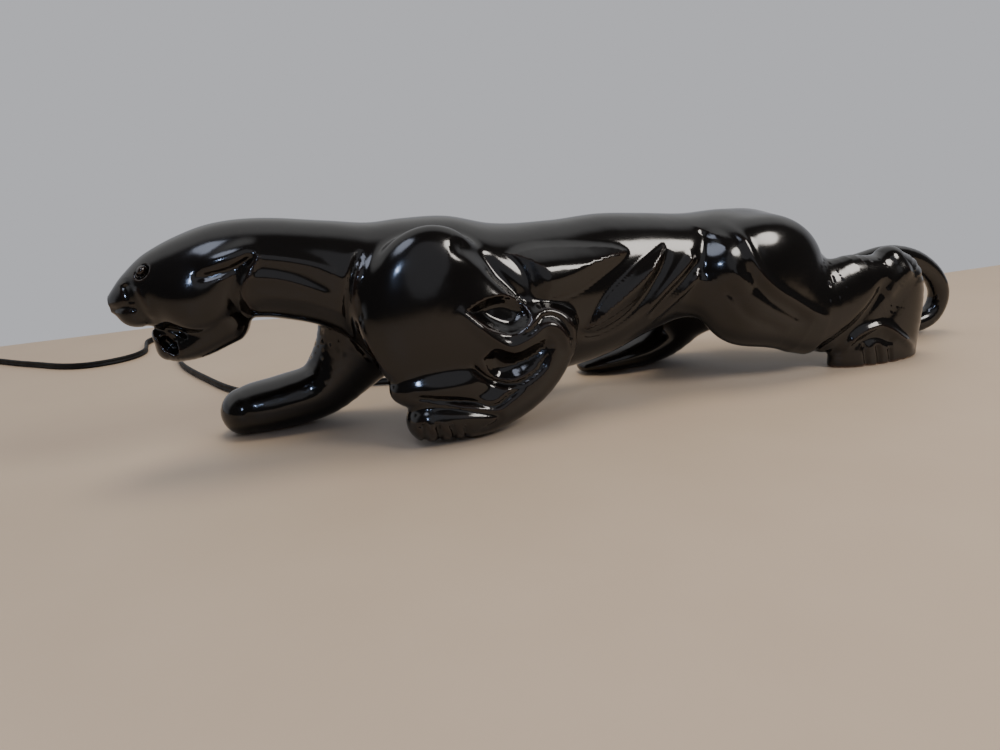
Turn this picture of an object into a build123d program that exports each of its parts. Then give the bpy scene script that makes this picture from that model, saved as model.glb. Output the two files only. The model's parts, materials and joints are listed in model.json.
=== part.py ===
from build123d import *
import math
import os

# A black ceramic television lamp of the 1950s in the form of a stalking panther. The
# figure's trunk is hollow, and a lamp holder and bulb lie in it, along the spine. They
# light the wall behind through a window in the far flank. Millimetres. +X runs from nose
# to tail, +Y towards the wall and +Z up. The origin is on the table, under the middle
# of the figure.

os.makedirs("parts", exist_ok=True)

# ---- overall sizes ----------------------------------------------------------------
figure_length = 548.0  # nose to the tail's loop
figure_width = 108.0  # across the paws
figure_height = 125.0  # table to the crown

# The figure was drawn at these sizes, and its stations below are in millimetres there.
drawn_length = 548.0
drawn_width = 108.0
drawn_height = 125.0

# ---- the ceramic ------------------------------------------------------------------
wall = 5.0
spine_side = -5.0  # the spine is a little nearer to the front paws' side
tail_bar = 14.0
window_length = 112.0
window_height = 50.0
window_middle = 266.0  # behind the nose, as drawn

# ---- lamp holder ------------------------------------------------------------------
bracket_steel = 1.6
bracket_width = 16.0
bracket_foot = 24.0
bracket_from_nose = 186.0  # the upright's front face, as drawn
bracket_over_hole = 12.0
screw_size = 4.0
screw_clearance = 0.25
washer_size = 10.0
washer_steel = 1.0
nut_across = 7.0
nut_high = 3.2
pad_radius = 9.0
pad_rise = 5.0  # inside, above the cavity's floor
pad_drop = 2.0  # outside, below the belly
nipple_size = 10.29
nipple_bore = 7.0
nipple_behind = 10.0  # behind the bracket
nipple_nut_across = 14.3
nipple_nut_high = 3.0
lock_washer_high = 0.8
nipple_clearance = 0.1

# ---- socket -----------------------------------------------------------------------
shell_size = 33.5
shell_metal = 0.5
shell_long = 38.0
cap_long = 18.0
collar_size = 14.0
collar_long = 8.0
cap_overlap = 5.0
liner_board = 0.9
liner_gap = 0.1
core_size = 29.0
core_long = 11.0
screw_shell_metal = 0.4
screw_shell_long = 22.0
base_clearance = 0.1
contact_tongue = 0.6
terminal_head = 6.0
terminal_high = 2.0

# ---- bulb, medium screw base ------------------------------------------------------
bulb_size = 47.6
bulb_long = 88.9  # tip contact to crown
glass_wall = 0.7
bulb_neck = 24.0
base_size = 26.0
base_long = 20.0
base_metal = 0.4
insulator_high = 3.5
tip_contact_size = 9.6
tip_contact_high = 1.5
stem_size = 9.0
stem_long = 30.0
support_wire = 0.6
filament_wide = 22.0
filament_wire = 0.8

# ---- cord, switch and plug --------------------------------------------------------
cord_size = 5.2
grommet_hole = 10.0
grommet_flange = 14.0
grommet_lip = 2.0
grommet_groove = 0.6  # outside, between the flange and the wall
grommet_slack = 2.4  # inside, where the wall curves towards the flange
coil_size = 76.0  # mean diameter
coil_band = 14.0
coil_high = 9.0
switch_long = 46.0
switch_wide = 21.0
switch_high = 14.0
switch_wall = 1.8
thumb_wheel_size = 18.0
thumb_wheel_high = 4.6
wheel_gap = 0.5
wheel_stud = 4.0
stud_clearance = 0.08
plug_long = 30.0
plug_wide = 22.0
plug_high = 12.0
blade_apart = 12.7
blade_wide = 6.35
blade_thick = 1.5
blade_long = 17.0
blade_root = 8.0

SPREAD = figure_length / drawn_length
BROAD = figure_width / drawn_width
TALL = figure_height / drawn_height
GIRTH = (SPREAD + TALL) / 2


def along(from_nose):
    """X of a station given in drawn millimetres behind the nose."""
    return (from_nose - drawn_length / 2) * SPREAD


def cross_section(from_nose, top, bottom, half_width, inset=0.0):
    """An upright ellipse across the spine, drawn inwards by inset."""
    middle = (top + bottom) / 2 * TALL
    upright = Plane(
        origin=(along(from_nose), spine_side * BROAD, middle),
        x_dir=(0, 1, 0),
        z_dir=(1, 0, 0),
    )
    with BuildSketch(upright) as outline:
        Ellipse(half_width * BROAD - inset, (top - bottom) / 2 * TALL - inset)
    return outline.sketch


def limb(stations):
    """A tapering solid through ellipses set square to its line. A station gives its
    distance from the nose, side, height, half width and half depth, as drawn."""
    centres = [Vector(along(s[0]), s[1] * BROAD, s[2] * TALL) for s in stations]
    outlines = []
    for index, station in enumerate(stations):
        before = centres[max(index - 1, 0)]
        after = centres[min(index + 1, len(centres) - 1)]
        square = Plane(origin=centres[index], x_dir=(0, 1, 0), z_dir=after - before)
        with BuildSketch(square) as outline:
            Ellipse(station[3] * BROAD, station[4] * GIRTH)
        outlines.append(outline.sketch)
    return loft(outlines, mode=Mode.PRIVATE)


def egg(from_nose, side, height, radii, tilt=0.0):
    """A smooth lump of muscle, built as slices across its length. tilt leans its
    length about the cross axis, in degrees, nose end up."""
    centre = Vector(along(from_nose), side * BROAD, height * TALL)
    lengthwise = Vector(1, 0, 0).rotate(Axis.Y, tilt)
    outlines = []
    for share in (-0.995, -0.93, -0.75, -0.4, 0, 0.4, 0.75, 0.93, 0.995):
        place = centre + lengthwise * (radii[0] * SPREAD * share)
        left = math.sqrt(1 - share**2)
        with BuildSketch(Plane(origin=place, x_dir=(0, 1, 0), z_dir=lengthwise)) as outline:
            Ellipse(radii[1] * BROAD * left, radii[2] * TALL * left)
        outlines.append(outline.sketch)
    return loft(outlines, mode=Mode.PRIVATE)


def bend_radii(points):
    """The largest radius that each corner of a route has room for."""
    radii = []
    for before, corner, after in zip(points, points[1:], points[2:]):
        arriving = Vector(*corner) - Vector(*before)
        leaving = Vector(*after) - Vector(*corner)
        turn = math.radians(arriving.get_angle(leaving))
        shorter = min(arriving.length, leaving.length)
        radii.append(0.45 * shorter / math.tan(turn / 2))
    return radii


def bent_bar(points, diameter):
    """A round bar along straight runs that are joined by arcs."""
    with BuildPart() as bar:
        with BuildLine() as route:
            FilletPolyline(*points, radius=bend_radii(points))
        with BuildSketch(Plane(origin=route.line @ 0, z_dir=route.line % 0)):
            Circle(diameter / 2)
        sweep()
    length = sum(edge.length for edge in route.edges())
    section = math.pi * diameter**2 / 4
    radii = ", ".join(f"{radius:.0f}" for radius in bend_radii(points))
    print(f"route {length:.1f} mm, radii {radii} mm,",
          f"volume over section x length {bar.part.volume / section / length:.4f}")
    return bar.part


# ---- panther ----------------------------------------------------------------------
# Cross-sections of head, neck and trunk: behind the nose, top, bottom, half width.
trunk_stations = [
    (0, 94, 86, 4),
    (4, 100, 82, 9),
    (14, 109, 77, 14),
    (28, 117, 73, 18.5),
    (44, 123, 70, 23),
    (60, 125, 67, 25),
    (80, 124.5, 67, 25),
    (98, 122, 65, 26),
    (112, 120, 57, 28.5),
    (130, 117.5, 38, 33),
    (148, 118, 25, 37),
    (174, 117, 19, 39),
    (198, 111, 18, 38),
    (236, 109, 20, 34),
    (268, 110, 25, 32),
    (294, 108, 34, 31),
    (325, 105, 41, 32),
    (356, 105, 40, 34),
    (381, 102, 38, 33),
    (401, 92, 36, 28),
    (421, 77, 36, 20),
    (441, 61, 38, 11),
]
grommet_station = trunk_stations[11]
pad_station = trunk_stations[12]
hollow_stations = trunk_stations[4:21]

jaw = limb([(16, -5, 64, 7, 5), (24, -5, 62, 10, 7), (40, -5, 69, 14, 9), (58, -5, 80, 16, 12)])
nose = egg(7, -5, 90, (7, 8, 6))
near_ear = egg(65, -25, 107, (10, 4.5, 7), -25)
far_ear = egg(65, 15, 107, (10, 4.5, 7), -25)

near_shoulder = egg(153, -34, 73, (42, 18, 45), -12)
far_shoulder = egg(153, 24, 78, (42, 18, 38), -12)
near_upper_arm = limb([(150, -34, 66, 15, 30), (184, -38, 62, 13, 24), (218, -40, 56, 11, 14)])
near_foreleg = limb([
    (227, -39, 62, 8, 8),
    (216, -39, 48, 12, 17),
    (200, -38.5, 30, 14, 20),
    (178, -38, 17, 15.5, 17),
    (156, -37.5, 14, 16, 14.5),
    (142, -37.5, 12, 13, 12),
    (135, -37.5, 11, 8, 7),
])
far_foreleg = limb([
    (140, 20, 74, 16, 28),
    (124, 25, 52, 16, 24),
    (108, 30, 33, 16, 20),
    (92, 34, 19, 16.5, 17),
    (72, 36, 14.5, 18, 15),
    (54, 36, 13, 16, 13.5),
    (45, 36, 11, 9, 8),
])

near_thigh = egg(368, -32, 60, (50, 22, 44), 14)
near_shank = limb([
    (360, -32, 54, 15, 27),
    (400, -35, 38, 17, 28),
    (430, -38, 40, 15, 26),
    (458, -40, 54, 11, 13),
])
near_hind_foot = limb([
    (458, -40, 69, 7, 8),
    (463, -40, 55, 12, 17),
    (462, -40, 34, 13, 26),
    (452, -40, 12, 14, 36),
    (451, -40, -6, 13, 36),
])
far_thigh = egg(368, 24, 62, (46, 18, 40), 14)
far_shank = limb([
    (372, 28, 60, 16, 28),
    (350, 32, 38, 15, 24),
    (326, 36, 21, 15, 17),
    (302, 37, 11, 17, 11),
    (284, 37, 7, 14, 7.5),
    (274, 37, 5, 8, 4),
])

tail_route = [
    (along(432), spine_side, 52 * TALL),
    (along(466), spine_side, 58 * TALL),
    (along(492), spine_side - 3, 62 * TALL),
    (along(518), spine_side - 4, 54 * TALL),
    (along(540), spine_side - 4, 34 * TALL),
    (along(542), spine_side - 3, 16 * TALL),
    (along(522), spine_side - 1, 7 * TALL),
    (along(500), spine_side, 8 * TALL),
]
tail = bent_bar(tail_route, tail_bar)

trunk = loft([cross_section(*s) for s in trunk_stations], mode=Mode.PRIVATE)
hollow = loft([cross_section(*s, inset=wall) for s in hollow_stations], mode=Mode.PRIVATE)

# The lamp lies along X, between the hollow's floor and roof.
lamp_side = 0.0
lamp_height = 70.5 * TALL
bracket_face = along(bracket_from_nose)

# The screw pad is a flat-topped lump of clay in the floor.
pad_x = bracket_face + bracket_foot / 2
pad_top = pad_station[2] * TALL + wall + pad_rise
pad_bottom = pad_station[2] * TALL - pad_drop

# The cord's hole is square to the wall, low on the far side.
grommet_angle = math.radians(-46)
grommet_half_high = (grommet_station[1] - grommet_station[2]) / 2 * TALL
grommet_half_wide = grommet_station[3] * BROAD
grommet_point = Vector(
    along(grommet_station[0]),
    spine_side * BROAD + grommet_half_wide * math.cos(grommet_angle),
    (grommet_station[1] + grommet_station[2]) / 2 * TALL
    + grommet_half_high * math.sin(grommet_angle),
)
grommet_out = Vector(
    0, math.cos(grommet_angle) / grommet_half_wide, math.sin(grommet_angle) / grommet_half_high
).normalized()
grommet_face = Plane(origin=grommet_point, x_dir=(1, 0, 0), z_dir=grommet_out)

def finish(builder, name):
    """Label a finished piece and write it."""
    builder.part.label = name
    export_step(builder.part, f"parts/{name}.step")


with BuildPart() as panther_body:
    add(trunk)
    add([jaw, nose, near_ear, far_ear])
    add([near_shoulder, near_upper_arm, near_foreleg, far_shoulder, far_foreleg])
    add([near_thigh, near_shank, near_hind_foot, far_thigh, far_shank])
    add(tail)
    with Locations(Location(tail_route[-1])):
        Sphere(tail_bar / 2)
    split(bisect_by=Plane.XY, keep=Keep.TOP)
    add(hollow, mode=Mode.SUBTRACT)
    with BuildSketch(Plane.XY.offset(pad_bottom)):
        with Locations((pad_x, lamp_side)):
            Circle(pad_radius)
    extrude(amount=pad_top - pad_bottom)
    with BuildSketch(Plane.XY.offset(pad_bottom - wall)):
        with Locations((pad_x, lamp_side)):
            Circle(screw_size / 2 + screw_clearance)
    extrude(amount=pad_top - pad_bottom + 2 * wall, mode=Mode.SUBTRACT)
    window_plane = Plane(
        origin=(along(window_middle), lamp_side, lamp_height), x_dir=(1, 0, 0), z_dir=(0, 1, 0)
    )
    with BuildSketch(window_plane):
        SlotOverall(window_length, window_height)
    extrude(amount=figure_width, mode=Mode.SUBTRACT)
    with BuildSketch(grommet_face.offset(4 * wall)):
        Circle(grommet_hole / 2)
    extrude(amount=-6 * wall, mode=Mode.SUBTRACT)
finish(panther_body, "panther_body")
print("panther_body", len(panther_body.part.solids()), panther_body.part.bounding_box())

# ---- lamp pieces on the lamp's axis -------------------------------------------------
lamp_plane = Plane(
    origin=(bracket_face, lamp_side, lamp_height), x_dir=(0, 1, 0), z_dir=(1, 0, 0)
)
lamp_profile = Plane(
    origin=(bracket_face, lamp_side, lamp_height), x_dir=(1, 0, 0), z_dir=(0, -1, 0)
)
lamp_axis = Axis((bracket_face, lamp_side, lamp_height), (1, 0, 0))


def on_lamp(forward, side=0.0, up=0.0):
    """A point given forward of the bracket's face, from the lamp's axis."""
    return (bracket_face + forward, lamp_side + side, lamp_height + up)


def tube(start, long, outer, inner=0.0):
    """A round piece or ring on the lamp's axis."""
    with BuildPart() as piece:
        with BuildSketch(lamp_plane.offset(start)):
            Circle(outer / 2)
            if inner:
                Circle(inner / 2, mode=Mode.SUBTRACT)
        extrude(amount=long)
    return piece


def turned(outline):
    """A piece turned about the lamp's axis from (forward, radius) corners."""
    with BuildPart() as piece:
        with BuildSketch(lamp_profile):
            with BuildLine():
                Polyline(*outline, close=True)
            make_face()
        revolve(axis=lamp_axis)
    return piece


def hexagon(start, long, across, bore):
    """A hexagon nut on the lamp's axis, with flats above and below."""
    with BuildPart() as nut:
        with BuildSketch(lamp_plane.offset(start)):
            RegularPolygon(across / 2, 6, major_radius=False)
            Circle(bore / 2, mode=Mode.SUBTRACT)
        extrude(amount=long)
    return nut


with BuildPart() as socket_bracket:
    with BuildSketch(Plane.XY.offset(pad_top)):
        with Locations((pad_x - bracket_steel / 2, lamp_side)):
            Rectangle(bracket_foot + bracket_steel, bracket_width)
        with Locations((pad_x, lamp_side)):
            Circle(screw_size / 2 + screw_clearance, mode=Mode.SUBTRACT)
    extrude(amount=bracket_steel)
    bracket_high = lamp_height + bracket_over_hole - pad_top
    with BuildSketch(Plane.YZ.offset(bracket_face)):
        with Locations((lamp_side, pad_top + bracket_high / 2)):
            Rectangle(bracket_width, bracket_high)
        with Locations((lamp_side, lamp_height)):
            Circle(nipple_size / 2 + nipple_clearance, mode=Mode.SUBTRACT)
    extrude(amount=-bracket_steel)
finish(socket_bracket, "socket_bracket")

# The screw comes up from the bracket's foot, through the pad and a washer, into a nut
# below the belly.
foot_top = pad_top + bracket_steel
washer_top = pad_bottom
nut_top = washer_top - washer_steel
head_high = 2.4
screw_below_nut = 1.0

with BuildPart() as bracket_screw:
    with BuildSketch(Plane.XY.offset(foot_top)):
        with Locations((pad_x, lamp_side)):
            Circle(screw_size)
    extrude(amount=head_high)
    fillet(bracket_screw.edges().group_by(Axis.Z)[-1], 0.8)
    with BuildSketch(Plane.XY.offset(foot_top)):
        with Locations((pad_x, lamp_side)):
            Circle(screw_size / 2)
    extrude(amount=-(foot_top - nut_top + nut_high + screw_below_nut))
finish(bracket_screw, "bracket_screw")

with BuildPart() as bracket_washer:
    with BuildSketch(Plane.XY.offset(nut_top)):
        with Locations((pad_x, lamp_side)):
            Circle(washer_size / 2)
            Circle(screw_size / 2 + screw_clearance, mode=Mode.SUBTRACT)
    extrude(amount=washer_steel)
finish(bracket_washer, "bracket_washer")

with BuildPart() as bracket_nut:
    with BuildSketch(Plane.XY.offset(nut_top - nut_high)):
        with Locations((pad_x, lamp_side)):
            RegularPolygon(nut_across / 2, 6, major_radius=False)
            Circle(screw_size / 2, mode=Mode.SUBTRACT)
    extrude(amount=nut_high)
finish(bracket_nut, "bracket_nut")

front_nut_end = lock_washer_high + nipple_nut_high
cap_start = front_nut_end
collar_end = cap_start + collar_long
nipple_end = collar_end
nipple_start = -bracket_steel - nipple_behind

lamp_nipple = tube(nipple_start, nipple_end - nipple_start, nipple_size, nipple_bore)
finish(lamp_nipple, "lamp_nipple")
lock_washer = tube(0, lock_washer_high, nipple_nut_across, nipple_size)
finish(lock_washer, "lock_washer")
nipple_front_nut = hexagon(lock_washer_high, nipple_nut_high, nipple_nut_across, nipple_size)
finish(nipple_front_nut, "nipple_front_nut")
nipple_back_nut = hexagon(
    -bracket_steel - nipple_nut_high, nipple_nut_high, nipple_nut_across, nipple_size
)
finish(nipple_back_nut, "nipple_back_nut")

# ---- socket -------------------------------------------------------------------------
cap_radius = shell_size / 2 + shell_metal
dome_start = cap_start + collar_long - 3
dome_end = dome_start + 6
cap_end = cap_start + cap_long
shell_start = cap_end - cap_overlap

socket_cap = turned([
    (cap_start, nipple_size / 2),
    (cap_start, collar_size / 2),
    (dome_start, collar_size / 2),
    (dome_start + 1.5, cap_radius - 3),
    (dome_end, cap_radius),
    (cap_end, cap_radius),
    (cap_end, cap_radius - shell_metal),
    (dome_end + shell_metal, cap_radius - shell_metal),
    (dome_start + 1.5 + shell_metal, cap_radius - 3 - shell_metal),
    (dome_start + 2 * shell_metal, collar_size / 2),
    (collar_end, collar_size / 2),
    (collar_end, nipple_size / 2),
])
finish(socket_cap, "socket_cap")
socket_shell = tube(shell_start, shell_long, shell_size, shell_size - 2 * shell_metal)
finish(socket_shell, "socket_shell")

liner_size = shell_size - 2 * shell_metal - 2 * liner_gap
socket_liner = tube(shell_start + 1, shell_long, liner_size, liner_size - 2 * liner_board)
finish(socket_liner, "socket_liner")

core_start = shell_start + 3.5
core_end = core_start + core_long
terminal_out = 8.5
terminal_shank = 3.0
terminal_deep = 6.0
terminal_places = [(-terminal_out, 0), (terminal_out, 0)]
with BuildPart() as socket_core:
    with BuildSketch(lamp_plane.offset(core_start)):
        Circle(core_size / 2)
        with Locations(*terminal_places):
            Circle(terminal_shank / 2, mode=Mode.SUBTRACT)
    extrude(amount=core_long)
finish(socket_core, "socket_core")

with BuildPart() as terminal_screws:
    with BuildSketch(lamp_plane.offset(core_start)):
        with Locations(*terminal_places):
            Circle(terminal_head / 2)
    extrude(amount=-terminal_high)
    with BuildSketch(lamp_plane.offset(core_start)):
        with Locations(*terminal_places):
            Circle(terminal_shank / 2)
    extrude(amount=terminal_deep)
finish(terminal_screws, "terminal_screws")

screw_shell_inner = base_size + 2 * base_clearance
screw_shell = tube(
    core_end, screw_shell_long, screw_shell_inner + 2 * screw_shell_metal, screw_shell_inner
)
finish(screw_shell, "screw_shell")

contact_high = 3.0
contact_gap = 0.3
with BuildPart() as centre_contact:
    with BuildSketch(lamp_plane.offset(core_end)):
        Rectangle(tip_contact_size, tip_contact_size / 2)
    extrude(amount=contact_high)
    with BuildSketch(lamp_plane.offset(core_end + contact_tongue)):
        with Locations((-contact_tongue, 0)):
            Rectangle(tip_contact_size, tip_contact_size)
    extrude(amount=contact_high - 2 * contact_tongue, mode=Mode.SUBTRACT)
finish(centre_contact, "centre_contact")

# ---- bulb ---------------------------------------------------------------------------
bulb_start = core_end + contact_high + contact_gap
insulator_start = bulb_start + tip_contact_high
base_start = insulator_start + insulator_high
base_end = base_start + base_long
glass_start = base_end - 5
neck_end = base_end + 6
glass_centre = bulb_start + bulb_long - bulb_size / 2

bulb_tip_contact = tube(bulb_start, tip_contact_high, tip_contact_size)
finish(bulb_tip_contact, "bulb_tip_contact")

base_inner = base_size / 2 - base_metal
bulb_base_insulator = turned([
    (insulator_start, 0),
    (insulator_start, tip_contact_size / 2 + 0.4),
    (base_start, base_inner - 1),
    (base_start + base_metal, base_inner - 1),
    (base_start + base_metal, 0),
])
finish(bulb_base_insulator, "bulb_base_insulator")
bulb_base = turned([
    (base_start, base_inner - 1),
    (base_start, base_size / 2),
    (base_end, base_size / 2),
    (base_end, base_inner),
    (base_start + base_metal, base_inner),
    (base_start + base_metal, base_inner - 1),
])
finish(bulb_base, "bulb_base")


def glass_form(inset):
    """The solid inside the envelope's skin: a neck, a cone tangent to it and a ball."""
    ball = bulb_size / 2 - inset
    neck = bulb_neck / 2 - inset
    reach = math.hypot(glass_centre - neck_end, neck)
    lean = math.atan2(neck, -(glass_centre - neck_end)) - math.acos(ball / reach)
    touch = (glass_centre + ball * math.cos(lean), ball * math.sin(lean))
    crown = (glass_centre + ball, 0)
    shoulder = (glass_centre + ball * math.cos(lean / 2), ball * math.sin(lean / 2))
    with BuildPart() as form:
        with BuildSketch(lamp_profile):
            with BuildLine():
                Polyline((glass_start, 0), (glass_start, neck), (neck_end, neck), touch)
                ThreePointArc(touch, shoulder, crown)
                Line(crown, (glass_start, 0))
            make_face()
        revolve(axis=lamp_axis)
    return form.part


glass_outside = glass_form(0)
glass_inside = glass_form(glass_wall)
with BuildPart() as bulb_glass:
    add(glass_outside)
    add(glass_inside, mode=Mode.SUBTRACT)
finish(bulb_glass, "bulb_glass")

stem_foot = 1.5
stem_end = glass_start + stem_long
stem_flange = bulb_neck / 2 - glass_wall
bulb_stem = turned([
    (glass_start, 0),
    (glass_start, stem_flange),
    (glass_start + stem_foot, stem_flange),
    (glass_start + 3 * stem_foot, stem_size / 2),
    (stem_end - stem_size / 2, stem_size / 2),
    (stem_end, stem_size / 4),
    (stem_end, 0),
])
finish(bulb_stem, "bulb_stem")

filament_forward = stem_end + 16
wire_root = stem_end - 1
wire_out = filament_wide / 2
support_routes = [
    [on_lamp(wire_root, 1.2 * s), on_lamp(stem_end + 8, 4.5 * s), on_lamp(filament_forward, wire_out * s)]
    for s in (-1, 1)
]
support_bars = [bent_bar(route, support_wire) for route in support_routes]
with BuildPart() as bulb_support_wires:
    add(support_bars)
finish(bulb_support_wires, "bulb_support_wires")

filament_bar = bent_bar([
    on_lamp(filament_forward, -wire_out),
    on_lamp(filament_forward + 2, -wire_out / 3),
    on_lamp(filament_forward + 2, wire_out / 3),
    on_lamp(filament_forward, wire_out),
], filament_wire)
with BuildPart() as bulb_filament:
    add(filament_bar)
finish(bulb_filament, "bulb_filament")

# ---- cord inside the figure ---------------------------------------------------------
grommet_back = -wall - grommet_slack
with BuildPart() as cord_grommet:
    with BuildSketch(grommet_face.offset(grommet_groove)):
        Circle(grommet_flange / 2)
    extrude(amount=grommet_lip)
    with BuildSketch(grommet_face.offset(grommet_back)):
        Circle(grommet_flange / 2)
    extrude(amount=-grommet_lip)
    with BuildSketch(grommet_face.offset(grommet_back)):
        Circle(grommet_hole / 2)
    extrude(amount=grommet_groove - grommet_back)
    with BuildSketch(grommet_face.offset(grommet_groove + grommet_lip)):
        Circle(cord_size / 2)
    extrude(amount=grommet_back - 2 * grommet_lip - grommet_groove, mode=Mode.SUBTRACT)
finish(cord_grommet, "cord_grommet")

cord_exit = grommet_point + grommet_out * (grommet_groove + grommet_lip)
inner_cord_route = [
    tuple(cord_exit),
    tuple(grommet_point - grommet_out * 20),
    on_lamp(-30, -2, -28),
    on_lamp(-44, -3, -21),
    on_lamp(-45, -2, -6.5),
    on_lamp(-30, 0, 0),
    on_lamp(nipple_end, 0, 0),
]
inner_cord_bar = bent_bar(inner_cord_route, cord_size)
with BuildPart() as inner_cord:
    add(inner_cord_bar)
finish(inner_cord, "inner_cord")

lead_size = 2.0
lead_end = core_start - terminal_high - lead_size / 2
lead_bars = [
    bent_bar([
        on_lamp(nipple_end, 1.3 * s),
        on_lamp(nipple_end + 1.8, 2.2 * s),
        on_lamp(lead_end, 5.0 * s),
        on_lamp(lead_end, (terminal_out + 1) * s),
    ], lead_size)
    for s in (-1, 1)
]
with BuildPart() as lead_wires:
    add(lead_bars)
finish(lead_wires, "lead_wires")

# ---- cord on the table, with its switch and plug --------------------------------------
lying = cord_size / 2
switch_x = -503.0
switch_y = 381.0
switch_mid = switch_high / 2
switch_right = switch_x + switch_long / 2
switch_left = switch_x - switch_long / 2
coil_x = -523.0
coil_y = 312.0
plug_x = -478.0
plug_tail_y = 227.0
plug_mid = plug_high / 2
plug_cord_deep = 4.0

cord_run_route = [
    tuple(cord_exit),
    tuple(cord_exit + grommet_out * 17),
    (-103, 56, 6),
    (-112, 77, lying),
    (-133, 91, lying),
    (-163, 94, lying),
    (-196, 98, lying),
    (-220, 113, lying),
    (-234, 139, lying),
    (-244, 166, lying),
    (-255, 196, lying),
    (-265, 228, lying),
    (-270, 264, lying),
    (-266, 300, lying),
    (-259, 328, lying),
    (-259, 350, lying),
    (-269, 366, lying),
    (-288, 368, lying),
    (-301, 353, lying),
    (-300, 331, lying),
    (-298, 308, lying),
    (-307, 290, lying),
    (-324, 281, lying),
    (-344, 280, lying),
    (-364, 291, lying),
    (-383, 311, lying),
    (-403, 330, lying),
    (-421, 351, lying),
    (-437, 365, lying),
    (-452, 376, 3.4),
    (-467, switch_y, switch_mid),
    (switch_right - switch_wall, switch_y, switch_mid),
]
cord_run_bar = bent_bar(cord_run_route, cord_size)
with BuildPart() as cord_run:
    add(cord_run_bar)
finish(cord_run, "cord_run")

coil_link_route = [
    (switch_left + switch_wall, switch_y, switch_mid),
    (-540, switch_y, switch_mid),
    (-554, 374, 3.4),
    (-561, 357, lying),
    (-562, 337, lying),
    (coil_x - coil_size / 2, coil_y + 6, lying),
]
coil_link_bar = bent_bar(coil_link_route, cord_size)
with BuildPart() as cord_to_coil:
    add(coil_link_bar)
finish(cord_to_coil, "cord_to_coil")

with BuildPart() as cord_coil:
    with BuildSketch(Plane.XY):
        with Locations((coil_x, coil_y)):
            Circle((coil_size + coil_band) / 2)
            Circle((coil_size - coil_band) / 2, mode=Mode.SUBTRACT)
    extrude(amount=coil_high)
    fillet(cord_coil.edges(), cord_size / 2)
finish(cord_coil, "cord_coil")

plug_link_route = [
    (coil_x + 4, coil_y - coil_size / 2, lying),
    (-504, 273, lying),
    (-489, 266, lying),
    (-480, 252, 3.2),
    (plug_x, 238, plug_mid),
    (plug_x, plug_tail_y - plug_cord_deep, plug_mid),
]
plug_link_bar = bent_bar(plug_link_route, cord_size)
with BuildPart() as cord_to_plug:
    add(plug_link_bar)
finish(cord_to_plug, "cord_to_plug")

# ---- switch ---------------------------------------------------------------------------
wheel_out = 3.5  # how far the wheel stands out of the housing's side
wheel_y = switch_y - switch_wide / 2 - wheel_out + thumb_wheel_size / 2
wheel_low = switch_mid - thumb_wheel_high / 2
switch_screw_size = 3.0
switch_screw_head = 5.5
switch_screw_x = switch_x + 15.5
switch_screw_y = switch_y + 2.0
switch_boss = 7.0
switch_nut_high = 2.4
switch_corner = 5.0
cord_plane = Plane(origin=(switch_x, switch_y, switch_mid), z_dir=(1, 0, 0))


def switch_half(low, high, floor_side):
    """One half of the housing, with a pocket, a screw boss and a slot for the wheel."""
    deep = high - low - switch_wall
    pocket_low = low + switch_wall if floor_side == "low" else low
    with BuildPart() as half:
        with BuildSketch(Plane.XY.offset(low)):
            with Locations((switch_x, switch_y)):
                RectangleRounded(switch_long, switch_wide, switch_corner)
        extrude(amount=high - low)
        with BuildSketch(Plane.XY.offset(pocket_low)):
            with Locations((switch_x, switch_y)):
                RectangleRounded(
                    switch_long - 2 * switch_wall,
                    switch_wide - 2 * switch_wall,
                    switch_corner - switch_wall,
                )
        extrude(amount=deep, mode=Mode.SUBTRACT)
        with BuildSketch(Plane.XY.offset(pocket_low)):
            with Locations((switch_screw_x, switch_screw_y)):
                Circle(switch_boss / 2)
        extrude(amount=deep)
        with BuildSketch(Plane.XY.offset(low)):
            with Locations((switch_screw_x, switch_screw_y)):
                Circle(switch_screw_size / 2)
        extrude(amount=high - low, mode=Mode.SUBTRACT)
        slot_high = thumb_wheel_high + 2 * wheel_gap
        with BuildSketch(Plane.XZ.offset(-(switch_y - switch_wide / 2 - 1))):
            with Locations((switch_x, switch_mid)):
                Rectangle(thumb_wheel_size + 2 * wheel_gap, slot_high)
        extrude(amount=-switch_wall - 2, mode=Mode.SUBTRACT)
        with BuildSketch(cord_plane.offset(-switch_long)):
            Circle(cord_size / 2)
        extrude(amount=2 * switch_long, mode=Mode.SUBTRACT)
    return half


lower_half = switch_half(0, switch_mid, "low")
stud_low = switch_wall
stud_high = switch_high - switch_wall
nut_recess = switch_nut_high
head_recess = 1.6
with BuildPart() as switch_lower_housing:
    add(lower_half.part)
    with BuildSketch(Plane.XY.offset(stud_low)):
        with Locations((switch_x, wheel_y)):
            Circle(wheel_stud / 2)
    extrude(amount=stud_high - stud_low)
    with BuildSketch(Plane.XY):
        with Locations((switch_screw_x, switch_screw_y)):
            RegularPolygon(switch_screw_head / 2, 6, major_radius=False)
    extrude(amount=nut_recess, mode=Mode.SUBTRACT)
finish(switch_lower_housing, "switch_lower_housing")

upper_half = switch_half(switch_mid, switch_high, "high")
with BuildPart() as switch_upper_housing:
    add(upper_half.part)
    with BuildSketch(Plane.XY.offset(switch_high - head_recess)):
        with Locations((switch_screw_x, switch_screw_y)):
            Circle(switch_screw_head / 2)
    extrude(amount=head_recess, mode=Mode.SUBTRACT)
finish(switch_upper_housing, "switch_upper_housing")

with BuildPart() as switch_thumb_wheel:
    with BuildSketch(Plane.XY.offset(wheel_low)):
        with Locations((switch_x, wheel_y)):
            Circle(thumb_wheel_size / 2)
            Circle(wheel_stud / 2 + stud_clearance, mode=Mode.SUBTRACT)
    extrude(amount=thumb_wheel_high)
finish(switch_thumb_wheel, "switch_thumb_wheel")

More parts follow.
